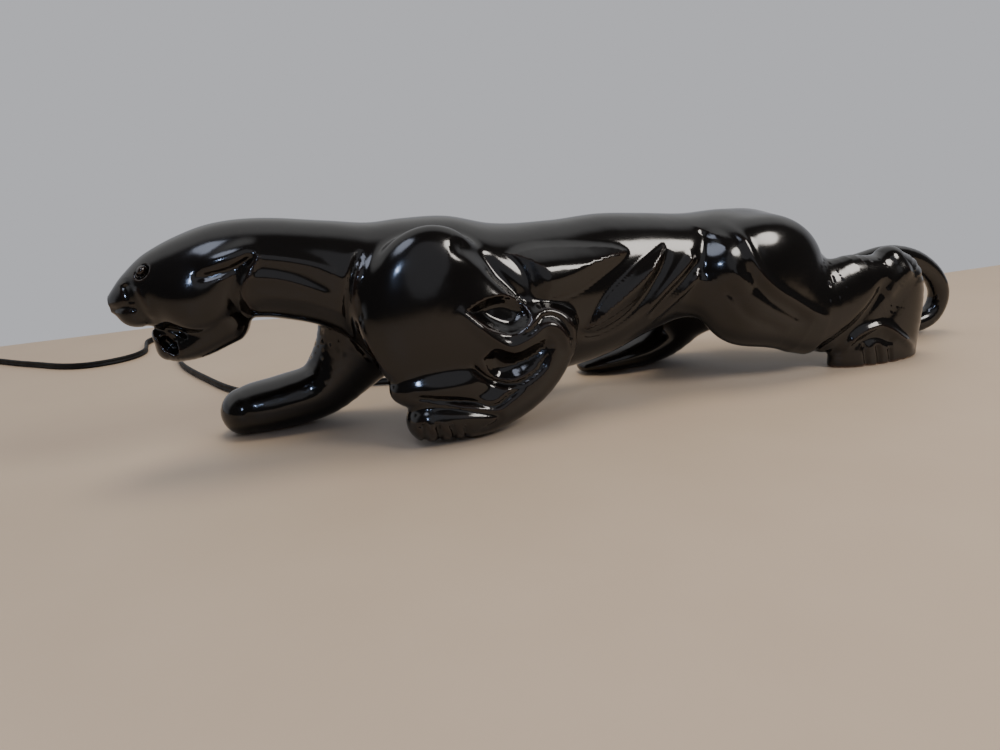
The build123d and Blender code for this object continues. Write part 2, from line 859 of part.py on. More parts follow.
with BuildPart() as switch_screw:
    with BuildSketch(Plane.XY.offset(switch_high - head_recess)):
        with Locations((switch_screw_x, switch_screw_y)):
            Circle(switch_screw_head / 2)
    extrude(amount=head_recess)
    with BuildSketch(Plane.XY):
        with Locations((switch_screw_x, switch_screw_y)):
            Circle(switch_screw_size / 2)
    extrude(amount=switch_high - head_recess)
finish(switch_screw, "switch_screw")

with BuildPart() as switch_nut:
    with BuildSketch(Plane.XY):
        with Locations((switch_screw_x, switch_screw_y)):
            RegularPolygon(switch_screw_head / 2, 6, major_radius=False)
            Circle(switch_screw_size / 2, mode=Mode.SUBTRACT)
    extrude(amount=switch_nut_high)
finish(switch_nut, "switch_nut")

strip_thick = 1.2
strip_long = 9.0
strip_high = 4.0
strip_y = switch_y + switch_wide / 2 - switch_wall - strip_thick / 2
with BuildPart() as switch_contacts:
    with BuildSketch(Plane.XY.offset(switch_mid - strip_high / 2)):
        with Locations((switch_x - 7, strip_y), (switch_x + 5, strip_y)):
            Rectangle(strip_long, strip_thick)
    extrude(amount=strip_high)
finish(switch_contacts, "switch_contacts")

# ---- plug -----------------------------------------------------------------------------
plug_face_y = plug_tail_y - plug_long
blade_y = plug_face_y + blade_root - (blade_root + blade_long) / 2
blade_places = [(plug_x - blade_apart / 2, blade_y), (plug_x + blade_apart / 2, blade_y)]
with BuildPart() as plug_body:
    with BuildSketch(Plane.XY):
        with Locations((plug_x, plug_tail_y - plug_long / 2)):
            RectangleRounded(plug_wide, plug_long, 4)
    extrude(amount=plug_high)
    fillet(plug_body.edges().group_by(Axis.Z)[-1], 2)
    with BuildSketch(Plane(origin=(plug_x, plug_tail_y, plug_mid), z_dir=(0, -1, 0))):
        Circle(cord_size / 2)
    extrude(amount=plug_cord_deep, mode=Mode.SUBTRACT)
    with BuildSketch(Plane.XY.offset(plug_mid - blade_wide / 2)):
        with Locations(*blade_places):
            Rectangle(blade_thick, blade_root + blade_long)
    extrude(amount=blade_wide, mode=Mode.SUBTRACT)
finish(plug_body, "plug_body")

with BuildPart() as plug_blades:
    with BuildSketch(Plane.XY.offset(plug_mid - blade_wide / 2)):
        with Locations(*blade_places):
            Rectangle(blade_thick, blade_root + blade_long)
    extrude(amount=blade_wide)
finish(plug_blades, "plug_blades")
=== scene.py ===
"""A black glazed stalking-panther television lamp: figure, socket, bulb and flat two-wire cord."""

import json
import math

import bmesh
import bpy
import numpy as np
import openvdb
from mathutils import Matrix, Vector


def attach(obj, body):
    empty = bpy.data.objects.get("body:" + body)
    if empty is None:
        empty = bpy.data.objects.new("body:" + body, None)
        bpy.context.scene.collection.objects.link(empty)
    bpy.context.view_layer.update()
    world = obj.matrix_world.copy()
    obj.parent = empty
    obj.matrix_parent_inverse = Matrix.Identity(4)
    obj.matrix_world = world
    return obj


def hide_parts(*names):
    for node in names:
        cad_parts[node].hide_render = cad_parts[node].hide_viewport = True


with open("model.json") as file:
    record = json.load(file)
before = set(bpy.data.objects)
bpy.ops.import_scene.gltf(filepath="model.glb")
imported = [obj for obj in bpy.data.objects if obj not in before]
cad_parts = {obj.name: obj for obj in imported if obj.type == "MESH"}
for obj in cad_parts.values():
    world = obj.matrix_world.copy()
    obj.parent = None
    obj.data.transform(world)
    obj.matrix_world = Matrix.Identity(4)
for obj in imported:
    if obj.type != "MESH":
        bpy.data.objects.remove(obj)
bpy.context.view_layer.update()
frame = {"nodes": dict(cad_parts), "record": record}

MM = 0.001
NOSE_X = -274.0  # the nose's place along X, in mm
SPINE = -5.0  # the spine's Y, in mm
WALL = 5.0  # the casting's thickness, in mm
TINY = 1e-9  # keeps a division safe


# ---------------------------------------------------------------- the eye
EYE = Vector((-0.2158, -0.4123, 0.1455))
FORWARD = Vector((0.3128, 0.9085, -0.2771)).normalized()
ROLL = math.radians(4.1185)


def camera():
    level = Vector((FORWARD.y, -FORWARD.x, 0)).normalized()
    rise = level.cross(FORWARD)
    right = math.cos(ROLL) * level - math.sin(ROLL) * rise
    up = right.cross(FORWARD)
    data = bpy.data.cameras.new("camera")
    data.lens = 27.04
    data.sensor_width = 36.0
    data.clip_start = 0.01
    obj = bpy.data.objects.new("camera", data)
    bpy.context.scene.collection.objects.link(obj)
    turn = Matrix((right, up, -FORWARD)).transposed().to_4x4()
    obj.matrix_world = Matrix.Translation(EYE) @ turn
    bpy.context.scene.camera = obj


camera()


# ---------------------------------------------------------------- materials
def linear(colour):
    """A hex colour in linear light."""
    parts = [int(colour[i : i + 2], 16) / 255 for i in (1, 3, 5)]
    return tuple(c / 12.92 if c <= 0.04045 else ((c + 0.055) / 1.055) ** 2.4 for c in parts) + (1,)


def add(tree, kind, inputs=(), **settings):
    """One node with its settings; an input gets a value, a hex colour or the socket that feeds it."""
    made = tree.nodes.new(kind)
    for name, value in settings.items():
        setattr(made, name, value)
    for name, value in dict(inputs).items():
        if isinstance(value, bpy.types.NodeSocket):
            tree.links.new(value, made.inputs[name])
        else:
            made.inputs[name].default_value = linear(value) if isinstance(value, str) else value
    return made


def material(name, values):
    """A material with values on its shader's sockets: the material, its node tree and the shader."""
    made = bpy.data.materials.new(name)
    made.use_nodes = True
    shader = made.node_tree.nodes["Principled BSDF"]
    for socket, value in values.items():
        shader.inputs[socket].default_value = linear(value) if isinstance(value, str) else value
    return made, made.node_tree, shader


def every(size_mm):
    """The scale that gives a pattern on Object coordinates a feature every so many mm."""
    return 1000.0 / size_mm


# the colour sockets of a Mix node
FIRST, SECOND, MIXED = 6, 7, 2


def glaze():
    """Black gloss glaze on white clay: poured and fired, so it lies like thick varnish, thins to
    brown over the sharpest ridges, and is wiped off the soles it stands on."""
    coat = {"Base Color": "#060504", "Roughness": 0.09, "IOR": 1.55}
    made, tree, shader = material("black gloss glaze", coat)
    where = add(tree, "ShaderNodeTexCoord").outputs["Object"]
    # brown where the glaze ran thin
    thin = add(tree, "ShaderNodeAttribute", attribute_name="ridge").outputs["Fac"]
    mist = add(tree, "ShaderNodeTexNoise", {"Vector": where, "Scale": every(6), "Detail": 3}).outputs["Fac"]
    browned = add(tree, "ShaderNodeMath", {0: thin, 1: mist}, operation="MULTIPLY").outputs[0]
    # a wavy brown rim and bare clay at the soles
    height = add(tree, "ShaderNodeSeparateXYZ", {0: where}).outputs["Z"]
    wavy = add(tree, "ShaderNodeTexNoise", {"Vector": where, "Scale": every(7.0)}).outputs["Fac"]
    edge = add(tree, "ShaderNodeMath", {0: wavy, 1: 0.9 * MM, 2: height}, operation="MULTIPLY_ADD").outputs[0]
    band = {"Value": edge, "From Min": 2.3 * MM, "From Max": 1.5 * MM}
    rim = add(tree, "ShaderNodeMapRange", band).outputs[0]
    band = {"Value": edge, "From Min": 1.15 * MM, "From Max": 0.85 * MM}
    bare = add(tree, "ShaderNodeMapRange", band).outputs[0]
    colour = "#0b0908"
    for share, tone in ((browned, "#22130b"), (rim, "#3a2114"), (bare, "#c9b79b")):
        over = {"Factor": share, FIRST: colour, SECOND: tone}
        colour = add(tree, "ShaderNodeMix", over, data_type="RGBA").outputs[MIXED]
    tree.links.new(colour, shader.inputs["Base Color"])
    # kiln dust and a thin uneven film take a little of the gloss; bare clay has none
    dust = add(tree, "ShaderNodeTexNoise", {"Vector": where, "Scale": every(1.4)}).outputs["Fac"]
    specks = add(tree, "ShaderNodeMapRange", {"Value": dust, "From Min": 0.72, "From Max": 0.80}).outputs[0]
    smears = add(tree, "ShaderNodeTexNoise", {"Vector": where, "Scale": every(30.0), "Detail": 3.0})
    film = add(
        tree,
        "ShaderNodeMapRange",
        {"Value": smears.outputs["Fac"], "From Min": 0.35, "From Max": 0.75, "To Min": 0.11, "To Max": 0.18},
    ).outputs[0]
    lifted = add(tree, "ShaderNodeMath", {0: specks, 1: 0.10, 2: film}, operation="MULTIPLY_ADD").outputs[0]
    rough = add(tree, "ShaderNodeMath", {0: bare, 1: 0.6, 2: lifted}, operation="MULTIPLY_ADD").outputs[0]
    tree.links.new(rough, shader.inputs["Roughness"])
    # the slow swell of a poured coat, and its fine orange peel
    slow = {"Vector": where, "Scale": every(24), "Roughness": 0.4}
    swell = add(tree, "ShaderNodeTexNoise", slow).outputs["Fac"]
    flow = add(tree, "ShaderNodeBump", {"Height": swell, "Distance": 0.5 * MM}).outputs["Normal"]
    peel = add(tree, "ShaderNodeTexNoise", {"Vector": where, "Scale": every(3.2)}).outputs["Fac"]
    skin = add(tree, "ShaderNodeBump", {"Height": peel, "Distance": 0.012 * MM, "Normal": flow}).outputs[0]
    tree.links.new(skin, shader.inputs["Normal"])
    return made


GLAZE = glaze()


# ---------------------------------------------------------------- the figure, in mm from the nose
# place behind the nose, top, bottom, half width
TRUNK = np.array([
    (0, 94, 86, 4), (4, 99.5, 82, 8.5), (10, 105.5, 79, 12.5), (16, 110.5, 77, 15), (26, 116, 74, 18),
    (36, 120, 73, 21), (48, 123.5, 74, 23), (60, 125, 75, 24), (72, 125, 74, 24.5), (84, 124, 71, 25),
    (98, 122, 66, 26), (112, 120, 57, 28.5), (130, 117.5, 38, 33), (148, 118, 25, 37), (174, 117, 19, 39),
    (198, 111, 18, 38), (236, 109, 20, 34), (268, 110, 25, 32), (294, 108, 34, 31), (325, 105, 41, 32),
    (356, 105, 40, 34), (381, 102, 38, 33), (401, 92, 36, 28), (421, 77, 36, 20), (441, 61, 38, 11),
], float)

# each leg: place, side, height, half width, half depth; then how softly it joins what comes before
LIMBS = [
    ("jaw", [(22.5, -5, 64.5, 9, 6), (28, -5, 64, 12, 7), (37, -5, 67.5, 14.5, 10),
             (50, -5, 76, 17, 14)], 3),
    ("far upper arm", [(136, 19, 72, 16, 36), (127, 25, 52, 16, 30), (114, 31, 34, 16, 22),
                       (98, 34, 20, 16.5, 17), (78, 36, 15.5, 18, 16), (60, 36, 14, 17, 15),
                       (53, 36, 13, 15, 14)], 7),
    ("near upper arm", [(150, -33, 64, 15, 32), (174, -36, 56, 14, 31), (196, -38, 49, 13, 25),
                        (213, -40, 50, 12, 17)], 5),
    ("near foreleg", [(224, -39, 54, 9, 10), (216, -39, 42, 12, 15), (200, -38.5, 27, 14, 17),
                      (178, -38, 16, 15.5, 15.5), (158, -37.5, 14, 16, 14), (145, -37.5, 13, 14, 12)], 4),
    ("near shank", [(360, -32, 54, 15, 27), (400, -35, 38, 17, 28), (432, -38, 45, 15, 28),
                    (456, -40, 56, 12, 15)], 9),
    ("near hind foot", [(456, -40, 65, 9, 9), (464, -40, 52, 12, 18), (463, -40, 34, 13, 23),
                        (454, -40, 14, 14, 32), (449, -40, 2, 13.5, 36)], 5),
    ("far shank", [(372, 28, 60, 16, 28), (356, 32, 40, 15, 24), (338, 36, 21, 16, 18),
                   (320, 37, 12, 17, 13), (300, 37, 9, 17, 10), (284, 37, 7, 14, 7.5),
                   (274, 37, 5, 8, 4)], 9),
    ("tail", [(432, -5, 52, 7, 7), (466, -5, 58, 7, 7), (490, -8, 61.5, 7, 7), (513, -9, 56, 7, 7),
              (532, -9, 43, 7, 7), (540, -9, 28, 7, 7), (535, -8, 13.5, 7, 7), (521, -6, 8, 7, 7),
              (500, -5, 8, 7, 7)], 5),
]

# rounded masses: place, side, height, half sizes along, across and up, lean in degrees, softness of the join
MASSES = [
    (7, -5, 91, 7, 8, 6, 0, 3),  # nose
    (11, -9, 84.5, 8, 8, 6.5, -10, 2.5),  # lip pads
    (11, -1, 84.5, 8, 8, 6.5, -10, 2.5),
    (40, -17, 89, 17, 12, 16, -10, 5),  # cheeks
    (40, 7, 89, 17, 12, 16, -10, 5),
    (58, -23.6, 108, 14, 5.5, 4.4, 14, 4),  # ears laid back
    (58, 13.6, 108, 14, 5.5, 4.4, 14, 4),
    (18.6, -5, 69.5, 2.4, 8, 5.5, 20, 2),  # lower lip
    (26, -5, 70.5, 9, 9, 6.5, -30, 2.5),  # tongue, which closes the mouth
    (160, -36, 31, 34, 15, 14, 0, 7),  # under the shoulder
    (152, -33, 71, 36, 16, 44.5, -14, 5),  # shoulders
    (153, 24, 78, 40, 18, 38, -12, 6),
    (364, -31, 60, 44, 19, 38, 20, 15),  # thighs
    (364, 22, 60, 46, 18, 38, 20, 18),
]

# hollows pressed into the clay: the same sizes
HOLLOWS = [
    (23, -15, 68, 2.8, 7, 6.0, 34, 1.5),  # corners of the mouth
    (23, 5, 68, 2.8, 7, 6.0, 34, 1.5),
    (17.8, -17.4, 105.6, 4.3, 3.0, 3.0, 50, 0.9),  # eye sockets
    (17.8, 7.4, 105.6, 4.3, 3.0, 3.0, 50, 0.9),
]

# the eyes' beads
BEADS = [
    (17.8, -15.2, 105.6, 2.7, 2.4, 2.0, 48, 0.3),
    (17.8, 5.2, 105.6, 2.7, 2.4, 2.0, 48, 0.3),
]

# strokes pressed or raised on the near (-1), far (1) or both (0) flanks: width, height, points (place, height)
STROKES = [
    # neck and chest
    (0, 2.0, -1.6, [(122, 106), (117, 99), (112.5, 89), (110, 78), (112, 66), (119, 50), (130, 33)]),
    (0, 1.6, 0.9, [(120, 100), (115, 90), (113.4, 78), (115, 66), (121, 50), (130, 37)]),
    (0, 3.4, 1.3, [(66, 108.5), (74, 107.3), (86, 104.5), (99.6, 99.7), (111, 91)]),
    (0, 3.0, 1.2, [(60, 98.5), (76, 96.4), (89, 91.5), (108, 81)]),
    (0, 3.0, 1.0, [(66, 90), (88, 85), (97, 81), (110, 74)]),
    # cheek, ear, face
    (0, 1.8, 1.2, [(72, 109), (66.5, 101), (62.8, 94), (62.8, 87), (66, 79)]),
    (0, 3.2, -1.8, [(64, 104), (58.5, 97), (57, 90), (58.5, 84), (63, 76)]),
    (0, 1.9, -1.7, [(40, 100), (52, 101.6), (61, 104), (71, 109)]),
    (0, 2.2, -0.9, [(10.5, 103), (12.2, 96), (13.4, 90), (15.5, 84), (20, 79)]),
    (0, 1.6, 0.5, [(14.5, 99), (16, 93), (18.5, 87)]),
    (0, 1.4, -1.0, [(-6, 88.4), (2, 88.2), (8, 89.6), (13, 88)]),
    (0, 1.7, -1.1, [(9, 100), (9.6, 95), (10.6, 90)]),
    (0, 1.5, -1.3, [(13, 77.5), (17, 75.6), (22, 73.4), (28, 69)]),
    # shoulder and foreleg
    (-1, 4.2, -2.2, [(164, 106), (173, 102), (182, 95), (190, 86), (197, 77), (204, 68)]),
    (-1, 3.2, 1.9, [(163, 74), (173, 62.6), (183.6, 52.8), (191, 49.6), (201, 53), (210, 58.6), (218, 56.2),
                    (223, 47), (224.5, 37)]),
    (-1, 2.9, 1.7, [(192, 54.6), (202, 60), (209.5, 65.4), (218, 65), (225, 59), (228, 48), (228, 36)]),
    (-1, 1.7, -1.1, [(196, 53.6), (203, 57.2), (211, 62.2), (218.5, 60.4), (224.4, 52), (226, 42)]),
    (-1, 1.8, -2.0, [(168, 44), (172, 37.5), (181, 31), (192, 28.8), (205, 34.5), (213, 43)]),
    (-1, 1.8, -1.8, [(134, 30), (143, 28), (152, 26), (167, 22.4), (178, 18.8), (187, 23), (197, 28)]),
    (-1, 1.8, -1.3, [(146, 22), (157, 20), (169, 17), (180, 13.4), (177, 8.8), (168, 7)]),
    (-1, 1.6, -1.7, [(138.5, 16), (140, 9), (142, 0)]),
    (-1, 1.6, -1.9, [(146, 15), (147.5, 8), (149, -1)]),
    (-1, 1.6, -1.9, [(153, 14), (155, 8), (156.5, -1)]),
    (-1, 1.5, -1.6, [(160, 12), (162, 7), (163, -1)]),
    # flank and thigh
    (-1, 2.6, 1.4, [(278, 50), (290, 62), (301, 72), (309, 79), (314, 84)]),
    (-1, 2.0, -1.1, [(282, 48), (295, 60.5), (306, 70), (317, 80)]),
    (-1, 2.1, 1.2, [(286, 45), (299, 56), (310, 66), (317, 75)]),
    (-1, 2.8, -1.8, [(234, 50), (246, 45), (260, 48), (274, 57), (286, 70), (298, 88)]),
    (0, 5.5, -1.5, [(327, 95), (323, 88), (318.5, 79), (317, 68)]),
    (0, 3.2, 1.6, [(339, 99), (343, 89), (346, 77.6), (352, 66.5), (361.5, 57.8), (374, 50), (387, 42),
                   (402, 34)]),
    (0, 4.0, -1.6, [(339, 78), (346, 65), (357, 54), (370, 45.5), (388, 35)]),
    (0, 3.0, -1.0, [(328, 66), (335, 56.6), (342, 46.6), (355, 38.6), (372, 32)]),
    # hind foot
    (-1, 4.6, -2.6, [(396, 8), (411, 21), (424, 30), (436, 42), (446, 56)]),
    (-1, 2.6, 2.2, [(416, 10), (423, 19.5), (432, 24.5), (441, 26), (448, 23), (458, 16), (474, 6)]),
    (-1, 2.8, -1.4, [(427, 15), (439, 18.5), (452, 13)]),
    (-1, 1.7, -1.4, [(430, 15), (431.5, 8), (433, -1)]),
    (-1, 1.7, -1.4, [(439, 14), (441, 7), (442, -1)]),
    (-1, 1.7, -1.2, [(448, 11), (450, 5), (451, -2)]),
    (-1, 5.0, 1.4, [(444, 44), (453, 54), (464, 62)]),
]

# pillows raised on, or dished into, the flanks: side, height, shoulder width, outline (place, height)
PILLOWS = [
    (-1, 5.6, 15, [(194, 97), (202, 88), (206, 75), (216, 67.6), (236, 70), (255, 78), (269, 85), (273, 91),
                   (262, 96.5), (240, 99), (221, 100.5), (205, 100)]),
    (-1, 4.8, 10, [(238, 48), (246, 61), (256, 71), (271, 81), (284, 88), (297, 92), (291, 76), (276, 62),
                   (259, 52.5), (246, 48)]),
    (-1, 2.6, 16, [(323, 96), (319.5, 83), (318, 70), (325, 60), (338, 57), (350, 62), (347, 76), (343, 89),
                   (334, 97)]),
    (-1, -6.5, 8, [(166, 71), (177, 76), (189, 77), (199, 72.5), (204, 65), (200, 57.5), (191.5, 54.4),
                   (181, 58.5), (173, 64.5)]),
    (-1, -4.5, 9, [(173, 45), (181, 51), (192, 46.5), (203, 50), (212, 53), (216, 45), (208, 36),
                   (192, 30.5), (179, 32.5)]),
]


def catmull(points, steps):
    """More stations on a smooth line through the given ones."""
    p = np.array(points, float)
    padded = np.vstack([2 * p[0] - p[1], p, 2 * p[-1] - p[-2]])
    rows = []
    for i in range(len(p) - 1):
        a, b, c, d = padded[i : i + 4]
        for t in np.arange(steps) / steps:
            rows.append(b + 0.5 * t * (c - a + t * (2 * a - 5 * b + 4 * c - d + t * (3 * (b - c) + d - a))))
    rows.append(p[-1])
    return np.array(rows)


def read_table(table, place):
    """The table's columns at each place, on smooth curves."""
    x = table[:, 0]
    slope = np.gradient(table[:, 1:], x, axis=0)
    i = np.clip(np.searchsorted(x, place) - 1, 0, len(x) - 2)
    step = (x[i + 1] - x[i])[:, None]
    t = np.clip((place - x[i])[:, None] / step, 0, 1)
    a, b = table[i, 1:], table[i + 1, 1:]
    return (
        a * (1 + 2 * t) * (1 - t) ** 2
        + b * t * t * (3 - 2 * t)
        + slope[i] * step * t * (1 - t) ** 2
        - slope[i + 1] * step * t * t * (1 - t)
    )


def oval(u, v, a, b):
    """About how far a point (u, v) is outside an ellipse of half sizes a and b."""
    out = np.sqrt((u / a) ** 2 + (v / b) ** 2)
    lean = np.sqrt((u / a**2) ** 2 + (v / b**2) ** 2)
    return out * (out - 1) / np.maximum(lean, TINY)


def join(a, b, reach):
    """Two forms as one, the crease between them filled over reach."""
    h = np.maximum(reach - np.abs(a - b), 0) / reach
    return np.minimum(a, b) - h * h * reach / 4


def cut(a, b, reach):
    """a with b taken out of it, the edge rounded over reach."""
    return -join(-a, b, reach)


def trunk_form(p, inset=0.0):
    """How far each point is outside the trunk, or outside one that is smaller all round by inset."""
    top, bottom, half = read_table(TRUNK, p[:, 0]).T
    middle, tall = (top + bottom) / 2, (top - bottom) / 2 - inset
    out = oval(p[:, 1] - SPINE, p[:, 2] - middle, half - inset, tall)
    over = np.maximum(np.maximum(TRUNK[0, 0] - p[:, 0], p[:, 0] - TRUNK[-1, 0]), 0)
    return np.where(over > 0, np.hypot(np.maximum(out, 0), over), out)


def limb_form(p, stations):
    """How far each point is outside a limb, read where the limb's line passes nearest to it."""
    best = np.full(len(p), 1e9)
    read = np.zeros((3, len(p)))
    for a, b in zip(stations[:-1], stations[1:]):
        run = b[[0, 2]] - a[[0, 2]]
        away = p[:, [0, 2]] - a[[0, 2]]
        t = np.clip(away @ run / max(run @ run, TINY), 0, 1)
        gap = (away[:, 0] - t * run[0]) ** 2 + (away[:, 1] - t * run[1]) ** 2
        closer = gap < best
        best = np.where(closer, gap, best)
        for row, k in enumerate((1, 3, 4)):
            read[row] = np.where(closer, a[k] + t * (b[k] - a[k]), read[row])
    return oval(p[:, 1] - read[0], np.sqrt(best), read[1], read[2])


def mass_form(p, mass):
    """How far each point is outside a leaning egg."""
    s, y, z, along, across, up, lean = mass
    c, n = math.cos(math.radians(lean)), math.sin(math.radians(lean))
    du, dz = p[:, 0] - s, p[:, 2] - z
    q = np.stack([(du * c + dz * n), p[:, 1] - y, (-du * n + dz * c)])
    r = np.array([along, across, up])[:, None]
    out = np.sqrt(((q / r) ** 2).sum(0))
    return out * (out - 1) / np.maximum(np.sqrt(((q / r**2) ** 2).sum(0)), TINY)


def near_box(p, low, high, margin):
    """Which points are in a box or within a margin of it."""
    return np.all((p > np.array(low) - margin) & (p < np.array(high) + margin), axis=1)


BUILT_LIMBS = []
for _, stations, reach in LIMBS:
    fine = catmull(stations, 4)
    fine[:, 3:] = np.maximum(fine[:, 3:], 2)
    spread = fine[:, 3:].max(1)[:, None]
    low = (fine[:, :3] - spread).min(0)
    high = (fine[:, :3] + spread).max(0)
    BUILT_LIMBS.append((fine, low, high, reach))


def nearest(q, line, closed=False):
    """Square of the distance to a line on the flank, and how far along it the nearest point lies."""
    best = np.full(len(q), 1e9)
    along = np.zeros(len(q))
    ends = np.roll(line, -1, 0) if closed else line[1:]
    for i, (a, b) in enumerate(zip(line, ends)):
        run = b - a
        away = q - a
        t = np.clip(away @ run / max(run @ run, TINY), 0, 1)
        gap = ((away - t[:, None] * run) ** 2).sum(1)
        closer = gap < best
        best = np.where(closer, gap, best)
        along = np.where(closer, (i + t) / len(ends), along)
    return best, along


def inside(q, line):
    """Which points of the flank a closed outline goes round."""
    odd = np.zeros(len(q), bool)
    for a, b in zip(line, np.roll(line, -1, 0)):
        spans = (a[1] > q[:, 1]) != (b[1] > q[:, 1])
        rise = b[1] - a[1] if abs(b[1] - a[1]) > TINY else TINY
        odd ^= spans & (q[:, 0] < (b[0] - a[0]) * (q[:, 1] - a[1]) / rise + a[0])
    return odd


def relief(p):
    """What the strokes and pillows add to the flanks, in mm."""
    rise = np.zeros(len(p))
    edge = p[:, 1] - SPINE
    for side, width, height, line, low, high, kind in FLANK_WORK:
        part = (p[:, 0] > low[0]) & (p[:, 0] < high[0]) & (p[:, 2] > low[1]) & (p[:, 2] < high[1])
        if side:
            part &= edge * side > 1
        if not part.any():
            continue
        q = p[part][:, [0, 2]]
        gap, along = nearest(q, line, kind == "pillow")
        if kind == "stroke":
            ends = np.clip(np.sin(np.pi * np.clip(along, 0, 1)) * 2.4, 0, 1)
            shape = np.exp(-gap / width**2) * ends
        else:
            deep = np.clip(np.sqrt(gap) / width, 0, 1) * inside(q, line)
            shape = np.clip(deep / 0.25, 0, 1) ** 2 * 0.12 + deep * deep * (3 - 2 * deep) * 0.88
        out = np.clip((np.abs(edge[part]) - 1) / 5, 0, 1)
        rise[part] += height * shape * out
    return rise


def flank_work():
    """The strokes and pillows with their smooth lines and the boxes they lie in."""
    built = []
    for side, width, height, points in STROKES:
        line = catmull(points, 3)
        built.append((side, width, height, line, line.min(0) - 3 * width, line.max(0) + 3 * width, "stroke"))
    for side, height, width, points in PILLOWS:
        line = catmull(list(points) + [points[0]], 3)[:-1]
        built.append((side, width, height, line, line.min(0) - 1, line.max(0) + 1, "pillow"))
    return built


FLANK_WORK = flank_work()


def masses(d, p, listed, how):
    """The listed eggs, each joined to or cut out of what is there."""
    for mass in listed:
        *shape, reach = mass
        size = np.array(shape[3:6]).max()
        part = near_box(p, np.array(shape[:3]) - size, np.array(shape[:3]) + size, reach + 4)
        if part.any():
            d[part] = how(d[part], mass_form(p[part], shape), reach)
    return d


# the hollow's ends, in mm behind the nose, and the window's middle, half straight and end radius
HOLLOW_ENDS = (46, 399)
WINDOW = (266, 31, 25)
LAMP_HEIGHT = 70.5  # the socket's axis over the table
PAD_AT, PAD_RADIUS, PAD_HEIGHTS = 198, 9, (16, 28)  # where the bracket's screw goes in
SCREW_HOLE_RADIUS, SCREW_HOLE_TOP = 2.25, 30
GROMMET_AT = np.array([174, 22.09, 32.75])
GROMMET_AIM = np.array([0, 0.7717, -0.6360])
GROMMET_RADIUS, GROMMET_HALF = 5, 14
SOLE_EDGE = 1.6  # how the feet round over to the table


def casting(p):
    """How far each point (place, side, height) is outside the glazed figure, in mm."""
    d = masses(trunk_form(p), p, MASSES, join)
    for fine, low, high, reach in BUILT_LIMBS:
        part = near_box(p, low, high, reach + 4)
        if part.any():
            d[part] = join(d[part], limb_form(p[part], fine), reach)
    d = masses(d - relief(p), p, HOLLOWS, cut)
    d = masses(d, p, BEADS, join)
    ends = np.maximum(HOLLOW_ENDS[0] - p[:, 0], p[:, 0] - HOLLOW_ENDS[1])
    d = cut(d, np.maximum(trunk_form(p, WALL), ends), 3)
    middle, straight, radius = WINDOW
    past = np.maximum(np.abs(p[:, 0] - middle) - straight, 0)
    window = np.hypot(past, p[:, 2] - LAMP_HEIGHT) - radius
    d = cut(d, np.maximum(window, 6 - p[:, 1]), 4)
    from_screw = np.hypot(p[:, 0] - PAD_AT, p[:, 1])
    floor_to_top = np.maximum(PAD_HEIGHTS[0] - p[:, 2], p[:, 2] - PAD_HEIGHTS[1])
    d = join(d, np.maximum(from_screw - PAD_RADIUS, floor_to_top), 2)
    d = cut(d, np.maximum(from_screw - SCREW_HOLE_RADIUS, p[:, 2] - SCREW_HOLE_TOP), 0.5)
    off = p - GROMMET_AT
    through = off @ GROMMET_AIM
    from_axis = np.linalg.norm(off - through[:, None] * GROMMET_AIM, axis=1)
    d = cut(d, np.maximum(from_axis - GROMMET_RADIUS, np.abs(through) - GROMMET_HALF), 1)
    return cut(d, p[:, 2], SOLE_EDGE)


def gradient(p, h=0.2):
    """Which way is out at each point, from four readings h mm away."""
    k = np.array([(1, -1, -1), (-1, -1, 1), (-1, 1, -1), (1, 1, 1)], float)
    return sum(step * casting(p + h * step)[:, None] for step in k) / (4 * h)


LATTICE_LOW = np.array([-4.0, -66.0, -4.0])
LATTICE_SIZE = np.array([556.0, 132.0, 134.0])
PITCH, QUICK_PITCH = 2.7, 3.4
ROWS_AT_ONCE = 24
OUTSIDE = 10.0  # the lattice's value away from the figure
BEND_REACH = 1.2  # how far apart the readings are that find a ridge


def skin_from_lattice():
    """The figure's skin as the lattice shows it, in faces about one pitch across."""
    pitch = PITCH
    counts = (LATTICE_SIZE / pitch).astype(int)
    axes = [LATTICE_LOW[i] + pitch * np.arange(counts[i]) for i in range(3)]
    values = np.empty(counts)
    side, height = np.meshgrid(axes[1], axes[2], indexing="ij")
    for start in range(0, counts[0], ROWS_AT_ONCE):
        places = axes[0][start : start + ROWS_AT_ONCE]
        block = np.empty((len(places), counts[1], counts[2], 3))
        block[..., 0] = places[:, None, None]
        block[..., 1] = side
        block[..., 2] = height
        read = casting(block.reshape(-1, 3)).reshape(block.shape[:3])
        values[start : start + ROWS_AT_ONCE] = read
    grid = openvdb.FloatGrid(OUTSIDE)
    grid.copyFromArray(values)
    points, quads = grid.convertToQuads(0.0)
    mesh = bpy.data.meshes.new("panther")
    mesh.from_pydata((np.array(points, float) * pitch + LATTICE_LOW).tolist(), [], np.array(quads).tolist())
    return mesh


